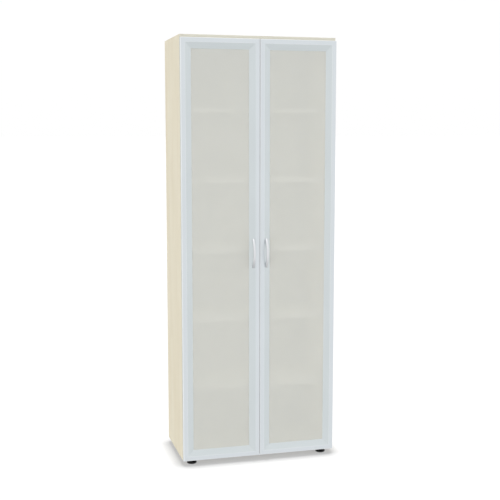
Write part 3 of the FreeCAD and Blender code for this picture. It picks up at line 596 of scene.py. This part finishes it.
# ---------------------------------------------------------------- modelling by hand
def alone(thing: bpy.types.Object) -> None:
    """Select one object and no other, and make it active.

    Args:
        thing: the object.
    """
    bpy.ops.object.select_all(action="DESELECT")
    thing.select_set(True)
    bpy.context.view_layer.objects.active = thing


def added(primitive: Callable[..., object], **settings: object) -> bpy.types.Object:
    """Add a primitive, with no other object selected.

    Args:
        primitive: the operator that adds it.
        **settings: the operator's settings.

    Returns:
        The new object.
    """
    bpy.ops.object.select_all(action="DESELECT")
    primitive(**settings)
    return bpy.context.object


def block(low: Vector, high: Vector) -> bpy.types.Object:
    """Add a box between two corners.

    Args:
        low: its lowest corner.
        high: its highest corner.

    Returns:
        The box, with its place and size in its mesh.
    """
    thing = added(bpy.ops.mesh.primitive_cube_add, size=1, location=(low + high) / 2)
    thing.scale = high - low
    bpy.ops.object.transform_apply(location=True, rotation=True, scale=True)
    return thing


def editing(thing: bpy.types.Object) -> bmesh.types.BMesh:
    """Open an object in edit mode with nothing selected.

    Args:
        thing: the object.

    Returns:
        Its edit mesh, on which faces and edges are picked in code.
    """
    alone(thing)
    bpy.ops.object.mode_set(mode="EDIT")
    bpy.ops.mesh.select_all(action="DESELECT")
    return bmesh.from_edit_mesh(thing.data)


def pick(thing: bpy.types.Object, mesh: bmesh.types.BMesh, mode: str,
         wanted: Callable[[object], bool]) -> None:
    """Select the edges or faces that a test wants.

    Args:
        thing: the object in edit mode.
        mesh: its edit mesh.
        mode: "EDGE" or "FACE".
        wanted: says whether an edge or face is wanted.
    """
    bpy.ops.mesh.select_mode(type=mode)
    bpy.ops.mesh.select_all(action="DESELECT")
    for item in mesh.edges if mode == "EDGE" else mesh.faces:
        item.select_set(wanted(item))
    mesh.select_flush_mode()
    bmesh.update_edit_mesh(thing.data)


def close_edit() -> None:
    """Leave edit mode."""
    bpy.ops.object.mode_set(mode="OBJECT")


def modify(thing: bpy.types.Object, kind: str, **settings: object) -> None:
    """Add a modifier and apply it.

    Args:
        thing: the object.
        kind: the modifier's type.
        **settings: its properties.
    """
    alone(thing)
    modifier = thing.modifiers.new(kind.lower(), kind)
    for name, setting in settings.items():
        setattr(modifier, name, setting)
    bpy.ops.object.modifier_apply(modifier=modifier.name)


def settle(thing: bpy.types.Object, smooth_angle: float) -> bpy.types.Object:
    """Put an object's place into its mesh, and smooth all but its sharp edges.

    Args:
        thing: the object.
        smooth_angle: the sharpest angle that is smoothed, in degrees.

    Returns:
        The same object.
    """
    alone(thing)
    bpy.ops.object.transform_apply(location=True, rotation=True, scale=True)
    bpy.ops.object.shade_smooth_by_angle(angle=math.radians(smooth_angle))
    return thing


def hand_over(piece: bpy.types.Object, finish: Finish, body: str, nodes: Sequence[str]) -> None:
    """Finish a new piece and let it stand for its nodes.

    Args:
        piece: the new piece.
        finish: its finish.
        body: the body that it rides on.
        nodes: the nodes that it replaces.
    """
    piece.data.materials.clear()
    piece.data.materials.append(finish.material())
    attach(piece, body)
    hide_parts(*nodes)
    log.info("%s: modelled, %d faces, with %s, on %s", piece.name, len(piece.data.polygons),
             finish.name, body)


def joined(name: str, things: Sequence[bpy.types.Object]) -> bpy.types.Object:
    """Join objects into one and name it.

    Args:
        name: the name of the whole.
        things: the objects, of which the first stays.

    Returns:
        The joined object.
    """
    alone(things[0])
    for thing in things[1:]:
        thing.select_set(True)
    if len(things) > 1:
        bpy.ops.object.join()
    things[0].name = name
    return things[0]


def islands(node: str) -> list[tuple[Vector, Vector]]:
    """Find the separate solids of a node.

    Args:
        node: the node's name.

    Returns:
        The lowest and highest corner of each solid, from the lowest up, and from left to right.
    """
    mesh = bmesh.new()
    mesh.from_mesh(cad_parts[node].data)
    bmesh.ops.remove_doubles(mesh, verts=mesh.verts, dist=MERGE_REACH)
    waiting = set(mesh.verts)
    found = []
    while waiting:
        group = set()
        reached = [waiting.pop()]
        while reached:
            vertex = reached.pop()
            group.add(vertex)
            near = {edge.other_vert(vertex) for edge in vertex.link_edges} & waiting
            waiting -= near
            reached.extend(near)
        low, high = (Vector(extreme(vertex.co[axis] for vertex in group) for axis in range(3))
                     for extreme in (min, max))
        found.append((low, high))
    mesh.free()
    return sorted(found, key=lambda box: (round(box[0].z, 4), round(box[0].x, 4), round(box[0].y, 4)))


def copies_at(name: str, master: bpy.types.Object, places: Sequence[Matrix]) -> bpy.types.Object:
    """Join copies of one modelled thing, each with its own mesh, and drop the master.

    Args:
        name: the name of the whole.
        master: the thing, modelled at the origin.
        places: where each copy goes.

    Returns:
        The joined copies.
    """
    made = []
    for place in places:
        copy = bpy.data.objects.new(name, master.data.copy())
        bpy.context.scene.collection.objects.link(copy)
        copy.data.transform(place)
        made.append(copy)
    bpy.data.objects.remove(master)
    return joined(name, made)


def refined(node: str, name: str, radius: float, shortest: float) -> bpy.types.Object:
    """Copy a node, merge its loose triangles into whole faces and round its long sharp edges.

    Args:
        node: the node's name.
        name: the new piece's name.
        radius: the rounding's width in metres.
        shortest: the shortest edge that is rounded, in metres.

    Returns:
        The new piece, with the node's own shape and rounded edges.
    """
    piece = bpy.data.objects.new(name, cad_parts[node].data.copy())
    bpy.context.scene.collection.objects.link(piece)
    alone(piece)
    bpy.ops.mesh.customdata_custom_splitnormals_clear()
    mesh = editing(piece)
    bpy.ops.mesh.select_all(action="SELECT")
    bpy.ops.mesh.remove_doubles(threshold=MERGE_REACH)
    bpy.ops.mesh.dissolve_limited(angle_limit=FLAT_WITHIN)
    pick(piece, mesh, "EDGE",
         lambda edge: edge.calc_length() > shortest and edge.calc_face_angle(0) > FOLD_FROM)
    bpy.ops.mesh.bevel(offset=radius, segments=3, profile=0.5, clamp_overlap=False)
    close_edit()
    settle(piece, smooth_angle=35)
    modify(piece, "WEIGHTED_NORMAL", weight=100, keep_sharp=True)
    return piece


def lathed(name: str, rings: Sequence[tuple[float, float]], sides: int) -> bpy.types.Object:
    """Turn a solid about Z: a disc is raised ring by ring, as on a lathe drawing.

    Args:
        name: the object's name.
        rings: the radius and height of each ring, from the bottom up.
        sides: how many sides the circle has.

    Returns:
        The closed solid.
    """
    radius, height = rings[0]
    thing = added(bpy.ops.mesh.primitive_circle_add, vertices=sides, radius=radius, fill_type="NGON",
                  location=(0, 0, height))
    thing.name = name
    bpy.ops.object.transform_apply(location=True)
    editing(thing)
    bpy.ops.mesh.select_mode(type="FACE")
    bpy.ops.mesh.select_all(action="SELECT")
    for next_radius, next_height in rings[1:]:
        bpy.ops.mesh.extrude_region_move(TRANSFORM_OT_translate={"value": (0, 0, next_height - height)})
        grow = next_radius / radius
        bpy.ops.transform.resize(value=(grow, grow, 1), center_override=(0, 0, next_height))
        radius, height = next_radius, next_height
    bpy.ops.mesh.select_all(action="SELECT")
    bpy.ops.mesh.normals_make_consistent(inside=False)
    close_edit()
    return thing


# ---------------------------------------------------------------- carcass
@dataclass
class Carcass:
    """The two sides, the boards between them, the back, the shelves and their fittings.

    A bumper has bumper_foot of its radius where it is stuck on, and ends in a dome that turns by dome_angle.
    """

    band_rounding: float = 0.8 * MM
    shelf_count: int = 5
    bumper_foot: float = 0.96
    bumper_chamfer: float = 0.1 * MM
    dome_height: float = 0.9 * MM
    dome_angle: float = math.radians(80)
    dome_steps: int = 5

    def build(self) -> None:
        """Model the edge bands and bumpers, and dress the rest."""
        for side in Side:
            dress(f"side_panel_{side.value}", BIRCH_UPRIGHT)
            self.band(f"side_edge_{side.value}", BAND_UPRIGHT)
        # The bottom board takes the shelves' paler birch, which is painted light.
        for board, finish in (("top", BIRCH_LEVEL), ("bottom", BIRCH_SHELF_PAINTED_LIGHT)):
            dress(f"{board}_board", finish)
            self.band(f"{board}_edge", BAND_LEVEL)
        # The back panel's darker birch is painted shade.
        dress("back_panel", BIRCH_BACK_PAINTED_SHADE)
        # The shelves' paler birch is painted light.
        for number in range(1, self.shelf_count + 1):
            dress(f"shelf_{number}", BIRCH_SHELF_PAINTED_LIGHT)
        # The shelves' front bands are darker, which is painted shade.
        self.band("shelf_edges", BAND_SHELF_PAINTED_SHADE)
        self.bumpers()
        for fitting, finish in (("shelf_pins", ZINC_PLATE), ("cam_bolts", ZINC_PLATE), ("cams", ZINC_PLATE),
                                ("dowels", BEECH), ("foot_sleeves", BLACK_PLASTIC),
                                ("foot_hole_caps", CREAM_PLASTIC)):
            dress(fitting, finish)

    def band(self, node: str, finish: Finish) -> None:
        """Model the bands of a node as strips whose two long front edges are rounded.

        Args:
            node: the node that they stand for.
            finish: their finish.
        """
        strips = []
        for low, high in islands(node):
            strip = block(low, high)
            long_way = 2 if high.z - low.z > high.x - low.x else 0
            mesh = editing(strip)
            pick(strip, mesh, "EDGE", lambda edge: self.is_long_front(edge, low.y, long_way))
            bpy.ops.mesh.bevel(offset=self.band_rounding, segments=3, profile=0.5)
            close_edit()
            strips.append(settle(strip, smooth_angle=50))
        hand_over(joined(f"{node}_band", strips), finish, "carcass", [node])

    @staticmethod
    def is_long_front(edge: bmesh.types.BMEdge, front: float, long_way: int) -> bool:
        """Say whether an edge lies in the front face and runs the band's long way.

        Args:
            edge: the edge.
            front: where the front face is, in Y.
            long_way: the number of the axis that the band runs along.

        Returns:
            True for such an edge.
        """
        first, second = (vertex.co for vertex in edge.verts)
        in_front = max(abs(first.y - front), abs(second.y - front)) < SAME_PLACE
        run = [abs(first[axis] - second[axis]) for axis in range(3)]
        return in_front and run[long_way] == max(run)

    def bumpers(self) -> None:
        """Model the stick-on bumpers as low domes that face the doors."""
        solids = islands("door_bumpers")
        low, high = solids[0]
        radius = (high.x - low.x) / 2
        shoulder = high.y - low.y - self.dome_height
        rings = [(radius * self.bumper_foot, 0), (radius, self.bumper_chamfer), (radius, shoulder)]
        for step in range(1, self.dome_steps + 1):
            angle = self.dome_angle * step / self.dome_steps
            rise = self.dome_height * math.sin(angle) / math.sin(self.dome_angle)
            rings.append((radius * math.cos(angle), shoulder + rise))
        dome = settle(lathed("bumper", rings, sides=32), smooth_angle=60)
        turn = Matrix.Rotation(math.radians(90), 4, "X")
        places = []
        for low, high in solids:
            foot = Vector(((low.x + high.x) / 2, high.y, (low.z + high.z) / 2))
            places.append(Matrix.Translation(foot) @ turn)
        hand_over(copies_at("door_bumper_domes", dome, places), CLEAR_BUMPER, "carcass",
                  ["door_bumpers"])


# ---------------------------------------------------------------- screws
# The rings of a pan head, as shares of its radius and height.
PAN_HEAD = ((1, 0), (1, 0.35), (0.93, 0.7), (0.74, 0.93), (0.5, 1))
# Each screw of a set has stopped this much further round than the one before.
SCREW_SPIN = math.radians(37)


@dataclass(frozen=True)
class ScrewHead:
    """A pan-head screw with a cross recess, modelled upright with its seat at the origin.

    The reach and depth of the recess are shares of the head's radius and height, and its taper is what its
    floor has of its opening.  The cutter stands out of the head by the overshoot.
    """

    radius: float
    height: float
    shank: float
    length: float
    recess_reach: float = 0.62
    recess_depth: float = 0.8
    recess_taper: tuple[float, float, float] = (0.45, 0.7, 1)
    blade: float = 0.9 * MM
    overshoot: float = 0.2 * MM

    def model(self, name: str) -> bpy.types.Object:
        """Turn the screw, dome its head and cut the recess.

        Args:
            name: the object's name.

        Returns:
            The screw, pointing down from the seat with its head above.
        """
        shank = [(self.shank / 2, -self.length), (self.shank, self.shank - self.length), (self.shank, 0)]
        head = [(self.radius * wide, self.height * high) for wide, high in PAN_HEAD]
        screw = lathed(name, shank + head, sides=24)
        cutter = self.cross(f"{name}_cutter")
        modify(screw, "BOOLEAN", object=cutter, operation="DIFFERENCE", solver="EXACT")
        bpy.data.objects.remove(cutter)
        return settle(screw, smooth_angle=35)

    def cross(self, name: str) -> bpy.types.Object:
        """Model the tapered cross that cuts the recess.

        Args:
            name: the object's name.

        Returns:
            A closed cross that narrows downwards.
        """
        reach = self.radius * self.recess_reach
        floor = self.height * (1 - self.recess_depth)
        bars = []
        for turn in (0, 90):
            bar = block(Vector((-reach, -self.blade / 2, floor)),
                        Vector((reach, self.blade / 2, self.height + self.overshoot)))
            mesh = editing(bar)
            pick(bar, mesh, "FACE", lambda face: face.normal.z < -FACING)
            bpy.ops.transform.resize(value=self.recess_taper, center_override=(0, 0, floor))
            close_edit()
            bar.data.transform(Matrix.Rotation(math.radians(turn), 4, "Z"))
            bars.append(bar)
        modify(bars[0], "BOOLEAN", object=bars[1], operation="UNION", solver="EXACT")
        bpy.data.objects.remove(bars[1])
        bars[0].name = name
        return bars[0]


class HeadTo(Enum):
    """Which way a screw's head faces."""

    BACK = ((0, 1, 0), (-90, "X"))
    RIGHT = ((1, 0, 0), (90, "Y"))
    LEFT = ((-1, 0, 0), (-90, "Y"))

    @property
    def way(self) -> tuple[int, int, int]:
        """The direction from the seat out of the head."""
        return self.value[0]

    @property
    def turn(self) -> Matrix:
        """The turn that takes an upright screw there."""
        degrees, axis = self.value[1]
        return Matrix.Rotation(math.radians(degrees), 4, axis)


@dataclass(frozen=True)
class ScrewSet:
    """The screws of one node, each a copy of one modelled screw."""

    node: str
    body: str
    head_to: HeadTo
    head_height: float
    shank_radius: float

    def build(self) -> None:
        """Read each screw's place and size from the node and put a modelled one there."""
        solids = islands(self.node)
        low, high = solids[0]
        axis = max(range(3), key=lambda way: abs(self.head_to.way[way]))
        across = [way for way in range(3) if way != axis]
        radius = (high[across[0]] - low[across[0]]) / 2
        length = (high[axis] - low[axis]) - self.head_height
        screw = ScrewHead(radius, self.head_height, self.shank_radius, length).model("screw")
        places = []
        for index, (low, high) in enumerate(solids):
            seat = (low + high) / 2
            outer = high[axis] if self.head_to.way[axis] > 0 else low[axis]
            seat[axis] = outer - self.head_to.way[axis] * self.head_height
            spin = Matrix.Rotation(SCREW_SPIN * index, 4, "Z")
            places.append(Matrix.Translation(seat) @ self.head_to.turn @ spin)
        hand_over(copies_at(f"{self.node}_heads", screw, places), ZINC_PLATE, self.body,
                  [self.node])


# ---------------------------------------------------------------- doors
@dataclass
class Door:
    """One glazed door: four mitred members, pane, gasket, corner angles, handle and its hinge cups.

    A face's facing is how much of its normal lies along Y.  Faces within same_facing of the slope's are the
    slope, which has painted shade, and the others between side_facing and front_facing are rounded edges,
    which have a painted highlight.
    """

    side: Side
    edge_rounding: float = 0.4 * MM
    shortest_rounded: float = 250 * MM
    rim_width: float = 22 * MM
    slope_width: float = 31 * MM
    slope_drop: float = 11 * MM
    same_facing: float = 0.004
    side_facing: float = 0.05
    front_facing: float = 0.995
    handle_thickness: float = 7 * MM
    handle_foot: float = 18 * MM
    handle_rounding: float = 2.6 * MM
    handle_steps: int = 40

    @property
    def body(self) -> str:
        """The body that the door's pieces ride on."""
        return f"door_{self.side.value}"

    def node(self, part: str) -> str:
        """The name of one of the door's nodes."""
        return f"{self.body}_{part}"

    def build(self) -> None:
        """Model the members, the handle and the screws, and dress the rest."""
        for part, finishes in (("hinge_stile", ANODISED_UPRIGHT), ("meeting_stile", ANODISED_UPRIGHT),
                               ("top_rail", ANODISED_LEVEL), ("bottom_rail", ANODISED_LEVEL)):
            node = self.node(part)
            member = refined(node, f"{node}_member", self.edge_rounding, self.shortest_rounded)
            hand_over(member, finishes.rim, self.body, [node])
            # The slope gets a painted shade and the rounded edges get a painted highlight.
            self.tell_faces(member, finishes)
        self.handle()
        ScrewSet(self.node("handle_screws"), self.body, HeadTo.BACK, head_height=2.4 * MM,
                 shank_radius=2 * MM).build()
        ScrewSet(self.node("cup_screws"), self.body, HeadTo.BACK, head_height=0.8 * MM,
                 shank_radius=1.75 * MM).build()
        for part, finish in (("glass", SATIN_GLASS), ("gasket", GREY_RUBBER),
                             ("corner_brackets", ZINC_PLATE), ("hinge_cups", NICKEL_SHEET)):
            dress(self.node(part), finish)
        dress(f"hinge_links_{self.side.value}", NICKEL_SHEET)

    def tell_faces(self, member: bpy.types.Object, finishes: SectionFinishes) -> None:
        """Give a member's slope a painted shade and its rounded edges a painted highlight, as their own
        finishes, by the way that each face looks.

        Args:
            member: the member, which has the rim's finish all over.
            finishes: the finishes of its section.
        """
        for finish in (finishes.slope, finishes.edge):
            member.data.materials.append(finish.material())
        slope_facing = math.cos(math.atan2(self.slope_drop, self.slope_width))
        for face in member.data.polygons:
            facing = abs(face.normal.y)
            # The slope takes the darker tones, a painted shade; rounded edges and sides take near white, a
            # painted highlight.
            if abs(facing - slope_facing) < self.same_facing:
                face.material_index = 1
            elif self.side_facing < facing < self.front_facing:
                face.material_index = 2

    def handle(self) -> None:
        """Model the bow: a grid laid on its two arcs, raised to its width, and let down to the slope."""
        low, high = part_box(self.node("handle"))
        stile_low, stile_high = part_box(self.node("meeting_stile"))
        front = stile_low.y
        bow = added(bpy.ops.mesh.primitive_grid_add, x_subdivisions=self.handle_steps, y_subdivisions=1,
                    size=2)
        mesh = editing(bow)
        half = (high.z - low.z) / 2
        reach = front - low.y
        for vertex in mesh.verts:
            share, inner = vertex.co.x, vertex.co.y > 0
            vertex.co = self.arc_point(share, half - self.handle_foot if inner else half,
                                       reach - self.handle_thickness if inner else reach)
            vertex.co += Vector((low.x, front, (low.z + high.z) / 2))
        bpy.ops.mesh.select_mode(type="FACE")
        bpy.ops.mesh.select_all(action="SELECT")
        bpy.ops.mesh.extrude_region_move(TRANSFORM_OT_translate={"value": (high.x - low.x, 0, 0)})
        bpy.ops.mesh.select_all(action="SELECT")
        bpy.ops.mesh.normals_make_consistent(inside=False)
        pick(bow, mesh, "FACE", lambda face: self.is_foot(face, front))
        bpy.ops.mesh.extrude_region_move(TRANSFORM_OT_translate={"value": (0, self.slope_drop, 0)})
        self.seat(mesh, front, stile_high.x if self.side is Side.LEFT else stile_low.x)
        pick(bow, mesh, "EDGE", lambda edge: self.is_long_edge(edge, low.x, high.x, front))
        bpy.ops.mesh.bevel(offset=self.handle_rounding, segments=5, profile=0.5, clamp_overlap=True)
        close_edit()
        bow.name = self.node("handle_bow")
        hand_over(settle(bow, smooth_angle=45), SATIN_NICKEL, self.body,
                  [self.node("handle")])

    def seat(self, mesh: bmesh.types.BMesh, front: float, rim_edge: float) -> None:
        """Let the ends of the bow, which reach behind the door's front, down onto the slope.

        Args:
            mesh: the bow's edit mesh.
            front: where the door's front is, in Y.
            rim_edge: where the rim's outer edge is, in X.
        """
        for vertex in mesh.verts:
            if vertex.co.y > front + self.slope_drop / 2:
                inset = abs(rim_edge - vertex.co.x)
                vertex.co.y = front + (inset - self.rim_width) * self.slope_drop / self.slope_width

    @staticmethod
    def arc_point(share: float, half: float, rise: float) -> Vector:
        """Give a point of an arc in the YZ plane.

        Args:
            share: where it is, from -1 at the bottom to 1 at the top.
            half: half of the arc's chord.
            rise: how far the arc stands out at its middle.

        Returns:
            The point, with the chord's middle at the origin and the arc towards -Y.
        """
        radius = (half * half + rise * rise) / (2 * rise)
        angle = math.asin(half / radius) * share
        return Vector((0, radius - rise - radius * math.cos(angle), radius * math.sin(angle)))

    @staticmethod
    def is_foot(face: bmesh.types.BMFace, front: float) -> bool:
        """Say whether a face is one of the bow's two ends, in the plane of the door's front."""
        return face.normal.y > FACING and all(abs(vertex.co.y - front) < SAME_PLACE for vertex in face.verts)

    @staticmethod
    def is_long_edge(edge: bmesh.types.BMEdge, left: float, right: float, front: float) -> bool:
        """Say whether an edge runs along the bow at one of its sides, and not round its seat.

        Args:
            edge: the edge.
            left: where the bow's left side is, in X.
            right: where its right side is.
            front: where the door's front is, in Y.

        Returns:
            True for such an edge.
        """
        first, second = (vertex.co for vertex in edge.verts)
        same_side = abs(first.x - second.x) < SAME_PLACE
        at_side = min(abs(first.x - left), abs(first.x - right)) < SAME_PLACE
        on_seat = min(first.y, second.y) > front + 0.5 * MM
        return same_side and at_side and not on_seat and edge.calc_face_angle(0) > RIDGE_FROM


# ---------------------------------------------------------------- hinges on the sides
@dataclass
class HingeMounts:
    """The plates and arms that carry one door, screwed to its side."""

    side: Side

    def build(self) -> None:
        """Dress the plates and arms and model their screws."""
        side = self.side.value
        head_to = HeadTo.RIGHT if self.side is Side.LEFT else HeadTo.LEFT
        dress(f"hinge_plates_{side}", NICKEL_SHEET)
        dress(f"hinge_arms_{side}", NICKEL_SHEET)
        ScrewSet(f"hinge_plate_screws_{side}", "carcass", head_to, head_height=1.5 * MM,
                 shank_radius=2.5 * MM).build()
        ScrewSet(f"hinge_arm_screws_{side}", "carcass", head_to, head_height=1.2 * MM,
                 shank_radius=2 * MM).build()


# ---------------------------------------------------------------- levelling feet
# The rings round a pad's lower edge, inwards from its side and up from the floor, as shares of its width.
PAD_EDGE = ((1, 0), (0.45, 0.18), (0.12, 0.5), (0, 1))


@dataclass
class LevellingFoot:
    """A moulded glide with its neck and threaded stud.  Its small roundings are made from soft."""

    row: str
    side: Side
    pad_edge: float = 3 * MM
    pad_height: float = 8 * MM
    shoulder: float = 4 * MM
    neck_radius: float = 15 * MM
    soft: float = 0.5 * MM
    sleeve_gap: float = 0.3 * MM
    stud_radius: float = 5 * MM
    stud_chamfer: float = 0.4 * MM
    thread_pitch: float = 1.5 * MM
    thread_depth: float = 0.8 * MM
    thread_steps: int = 20
    socket_radius: float = 3 * MM
    socket_depth: float = 8 * MM

    def build(self) -> None:
        """Turn the glide, wind the stud's thread and join them."""
        body = f"foot_{self.row}_{self.side.value}"
        low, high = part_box(body)
        radius = (high.x - low.x) / 2
        sleeve_low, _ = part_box("foot_sleeves")
        neck_top = sleeve_low.z - self.sleeve_gap
        shoulder_top = self.pad_height + self.shoulder
        core = self.stud_radius - self.thread_depth
        pad = [(radius - self.pad_edge * inwards, self.pad_edge * up) for inwards, up in PAD_EDGE]
        pad += [(radius, self.pad_height - 2 * self.soft), (radius - 1.2 * self.soft, self.pad_height)]
        neck = [(self.neck_radius + 2 * self.soft, shoulder_top - self.soft),
                (self.neck_radius, shoulder_top + self.soft), (self.neck_radius, neck_top - self.soft),
                (self.neck_radius - self.soft, neck_top)]
        stud = [(core, neck_top), (core, high.z - self.stud_chamfer), (core - self.stud_chamfer, high.z),
                (self.socket_radius, high.z), (self.socket_radius, high.z - self.socket_depth)]
        glide = settle(lathed("glide", pad + neck + stud, sides=64), smooth_angle=35)
        thread = settle(self.thread(core, neck_top, high.z), smooth_angle=35)
        foot = joined(f"{body}_glide", [glide, thread])
        centre = (low + high) / 2
        foot.data.transform(Matrix.Translation((centre.x, centre.y, low.z)))
        hand_over(foot, BLACK_PLASTIC, body, [body])

    def thread(self, core: float, bottom: float, top: float) -> bpy.types.Object:
        """Wind a thread with the screw modifier from a small wedge.

        Args:
            core: the radius that it stands on.
            bottom: where the stud starts.
            top: where it ends.

        Returns:
            The thread, about the Z axis.
        """
        turns = int((top - bottom) / self.thread_pitch) - 1
        wedge = added(bpy.ops.mesh.primitive_circle_add, vertices=3, radius=self.thread_pitch / 2,
                      fill_type="NGON", rotation=(math.radians(90), 0, math.radians(90)))
        bpy.ops.object.transform_apply(location=True, rotation=True, scale=True)
        start = bottom + self.thread_pitch
        root = core - 0.1 * MM
        corners = [(root, -0.42), (root, 0.42), (self.stud_radius, 0)]
        for vertex, (reach, share) in zip(wedge.data.vertices, corners):
            vertex.co = Vector((reach, 0, start + share * self.thread_pitch))
        modify(wedge, "SCREW", angle=math.tau, screw_offset=self.thread_pitch, iterations=turns,
               steps=self.thread_steps, render_steps=self.thread_steps, use_normal_calculate=True,
               use_merge_vertices=False)
        editing(wedge)
        bpy.ops.mesh.select_all(action="SELECT")
        bpy.ops.mesh.remove_doubles(threshold=MERGE_REACH)
        bpy.ops.mesh.fill_holes(sides=3)
        bpy.ops.mesh.normals_make_consistent(inside=False)
        close_edit()
        return wedge


# ---------------------------------------------------------------- studio
@dataclass
class Studio:
    """Floor, sky, lamp and camera.

    The sky is brightest along the horizon, so that it lights upright faces and hardly the floor, which
    the lamp overhead lights.  Together they light every face by about 1, at which colours show as they are.
    In gloss the sky is white, a little brighter overhead and darker steeply below, as over a real floor.
    To the camera the floor glows white, less so where something stands within contact_reach of it: a painted
    contact shadow.
    """

    eye: Vector = field(default_factory=lambda: Vector((-1.2937, -4.8138, 1.6822)))
    heading: float = math.radians(-15.053)
    tilt: float = math.radians(6.973)
    lens: float = 68.951
    sensor: float = 36.0
    horizon_level: float = 1.98
    zenith_level: float = 0.05
    lamp_height: float = 6.0
    lamp_level: float = 1.28
    lamp_spread: float = math.radians(0.6)
    gloss_above: float = 1.08
    gloss_below: float = 0.66
    gloss_falls_from: float = -0.5
    gloss_falls_to: float = -0.95
    floor_size: float = 800.0
    floor_tone: float = 0.8
    floor_lit: float = 0.3
    floor_glow: float = 0.375
    contact_glow: float = 0.38
    contact_reach: float = 74 * MM
    contact_darkest: float = 0.6
    contact_samples: int = 16

    def build(self) -> None:
        """Set the stage."""
        self.camera()
        self.sky()
        self.lamp()
        self.floor()
        bpy.context.scene.view_settings.view_transform = "Standard"

    def camera(self) -> None:
        """Place the camera."""
        bpy.ops.object.camera_add(location=self.eye,
                                  rotation=(math.radians(90) - self.tilt, 0, self.heading))
        camera = bpy.context.object
        camera.name = "camera"
        camera.data.lens = self.lens
        camera.data.sensor_width = self.sensor
        camera.data.dof.use_dof = False
        bpy.context.scene.camera = camera

    def sky(self) -> None:
        """Light from all round, and show white to the camera and in gloss."""
        world = bpy.data.worlds.new("sky")
        world.use_nodes = True
        bpy.context.scene.world = world
        net = Network(world.node_tree)
        split = net.add("ShaderNodeSeparateXYZ")
        net.feed(split.inputs[0], net.add("ShaderNodeTexCoord").outputs["Generated"])
        up = split.outputs["Z"]
        light = world.node_tree.nodes["Background"]
        light.inputs["Color"].default_value = (1, 1, 1, 1)
        net.feed(light.inputs["Strength"], net.fit(up, 0, 1, self.horizon_level, self.zenith_level))
        white = net.add("ShaderNodeBackground")
        white.inputs["Color"].default_value = (1, 1, 1, 1)
        above = net.fit(up, 0, 1, 1, self.gloss_above)
        below = net.fit(up, self.gloss_falls_to, self.gloss_falls_from, self.gloss_below, 1)
        net.feed(white.inputs["Strength"], net.maths("MULTIPLY", above, below))
        path = net.add("ShaderNodeLightPath")
        seen = net.maths("MAXIMUM", path.outputs["Is Camera Ray"],
                         net.maths("MAXIMUM", path.outputs["Is Glossy Ray"],
                                   path.outputs["Is Transmission Ray"]))
        net.feed(world.node_tree.nodes["World Output"].inputs["Surface"],
                 net.mixed(seen, light.outputs[0], white.outputs[0]))

    def lamp(self) -> None:
        """Hang one lamp high overhead, for the footprint's shadow on the floor."""
        bpy.ops.object.light_add(type="SUN", location=(0, 0, self.lamp_height), rotation=(0, 0, 0))
        lamp = bpy.context.object
        lamp.name = "overhead"
        lamp.data.energy = self.lamp_level
        lamp.data.angle = self.lamp_spread

    def floor(self) -> None:
        """Lay a white floor that still takes the object's shadow.  Gloss shows the sky instead of it."""
        floor = added(bpy.ops.mesh.primitive_plane_add, size=self.floor_size, location=(0, 0, 0))
        floor.name = "floor"
        material = bpy.data.materials.new("studio_floor")
        material.use_nodes = True
        net = Network(material.node_tree)
        nodes = material.node_tree.nodes
        nodes.remove(nodes["Principled BSDF"])
        path = net.add("ShaderNodeLightPath")
        seen = path.outputs["Is Camera Ray"]
        matt = net.add("ShaderNodeBsdfDiffuse")
        net.feed(matt.inputs["Color"], net.fit(seen, 0, 1, self.floor_tone, self.floor_lit))
        # The glow dims by ambient occlusion near the object: a painted contact shadow.
        contact = net.add("ShaderNodeAmbientOcclusion", samples=self.contact_samples)
        contact.inputs["Distance"].default_value = self.contact_reach
        clear = net.fit(contact.outputs["AO"], self.contact_darkest, 1, 0, self.contact_glow)
        glow = net.add("ShaderNodeEmission")
        net.feed(glow.inputs["Strength"],
                 net.maths("MULTIPLY", seen, net.maths("ADD", clear, self.floor_glow)))
        both = net.add("ShaderNodeAddShader")
        net.feed(both.inputs[0], matt.outputs[0])
        net.feed(both.inputs[1], glow.outputs[0])
        clear_floor = net.add("ShaderNodeBsdfTransparent").outputs[0]
        net.feed(nodes["Material Output"].inputs["Surface"],
                 net.mixed(path.outputs["Is Glossy Ray"], both.outputs[0], clear_floor))
        floor.data.materials.append(material)


def main() -> None:
    """Build the scene round the frame."""
    logging.basicConfig(level=logging.INFO, format="%(name)s: %(message)s")
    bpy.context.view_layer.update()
    Studio().build()
    Carcass().build()
    for side in Side:
        Door(side).build()
        HingeMounts(side).build()
        for row in ("front", "rear"):
            LevellingFoot(row, side).build()


if __name__ == "__main__":
    main()
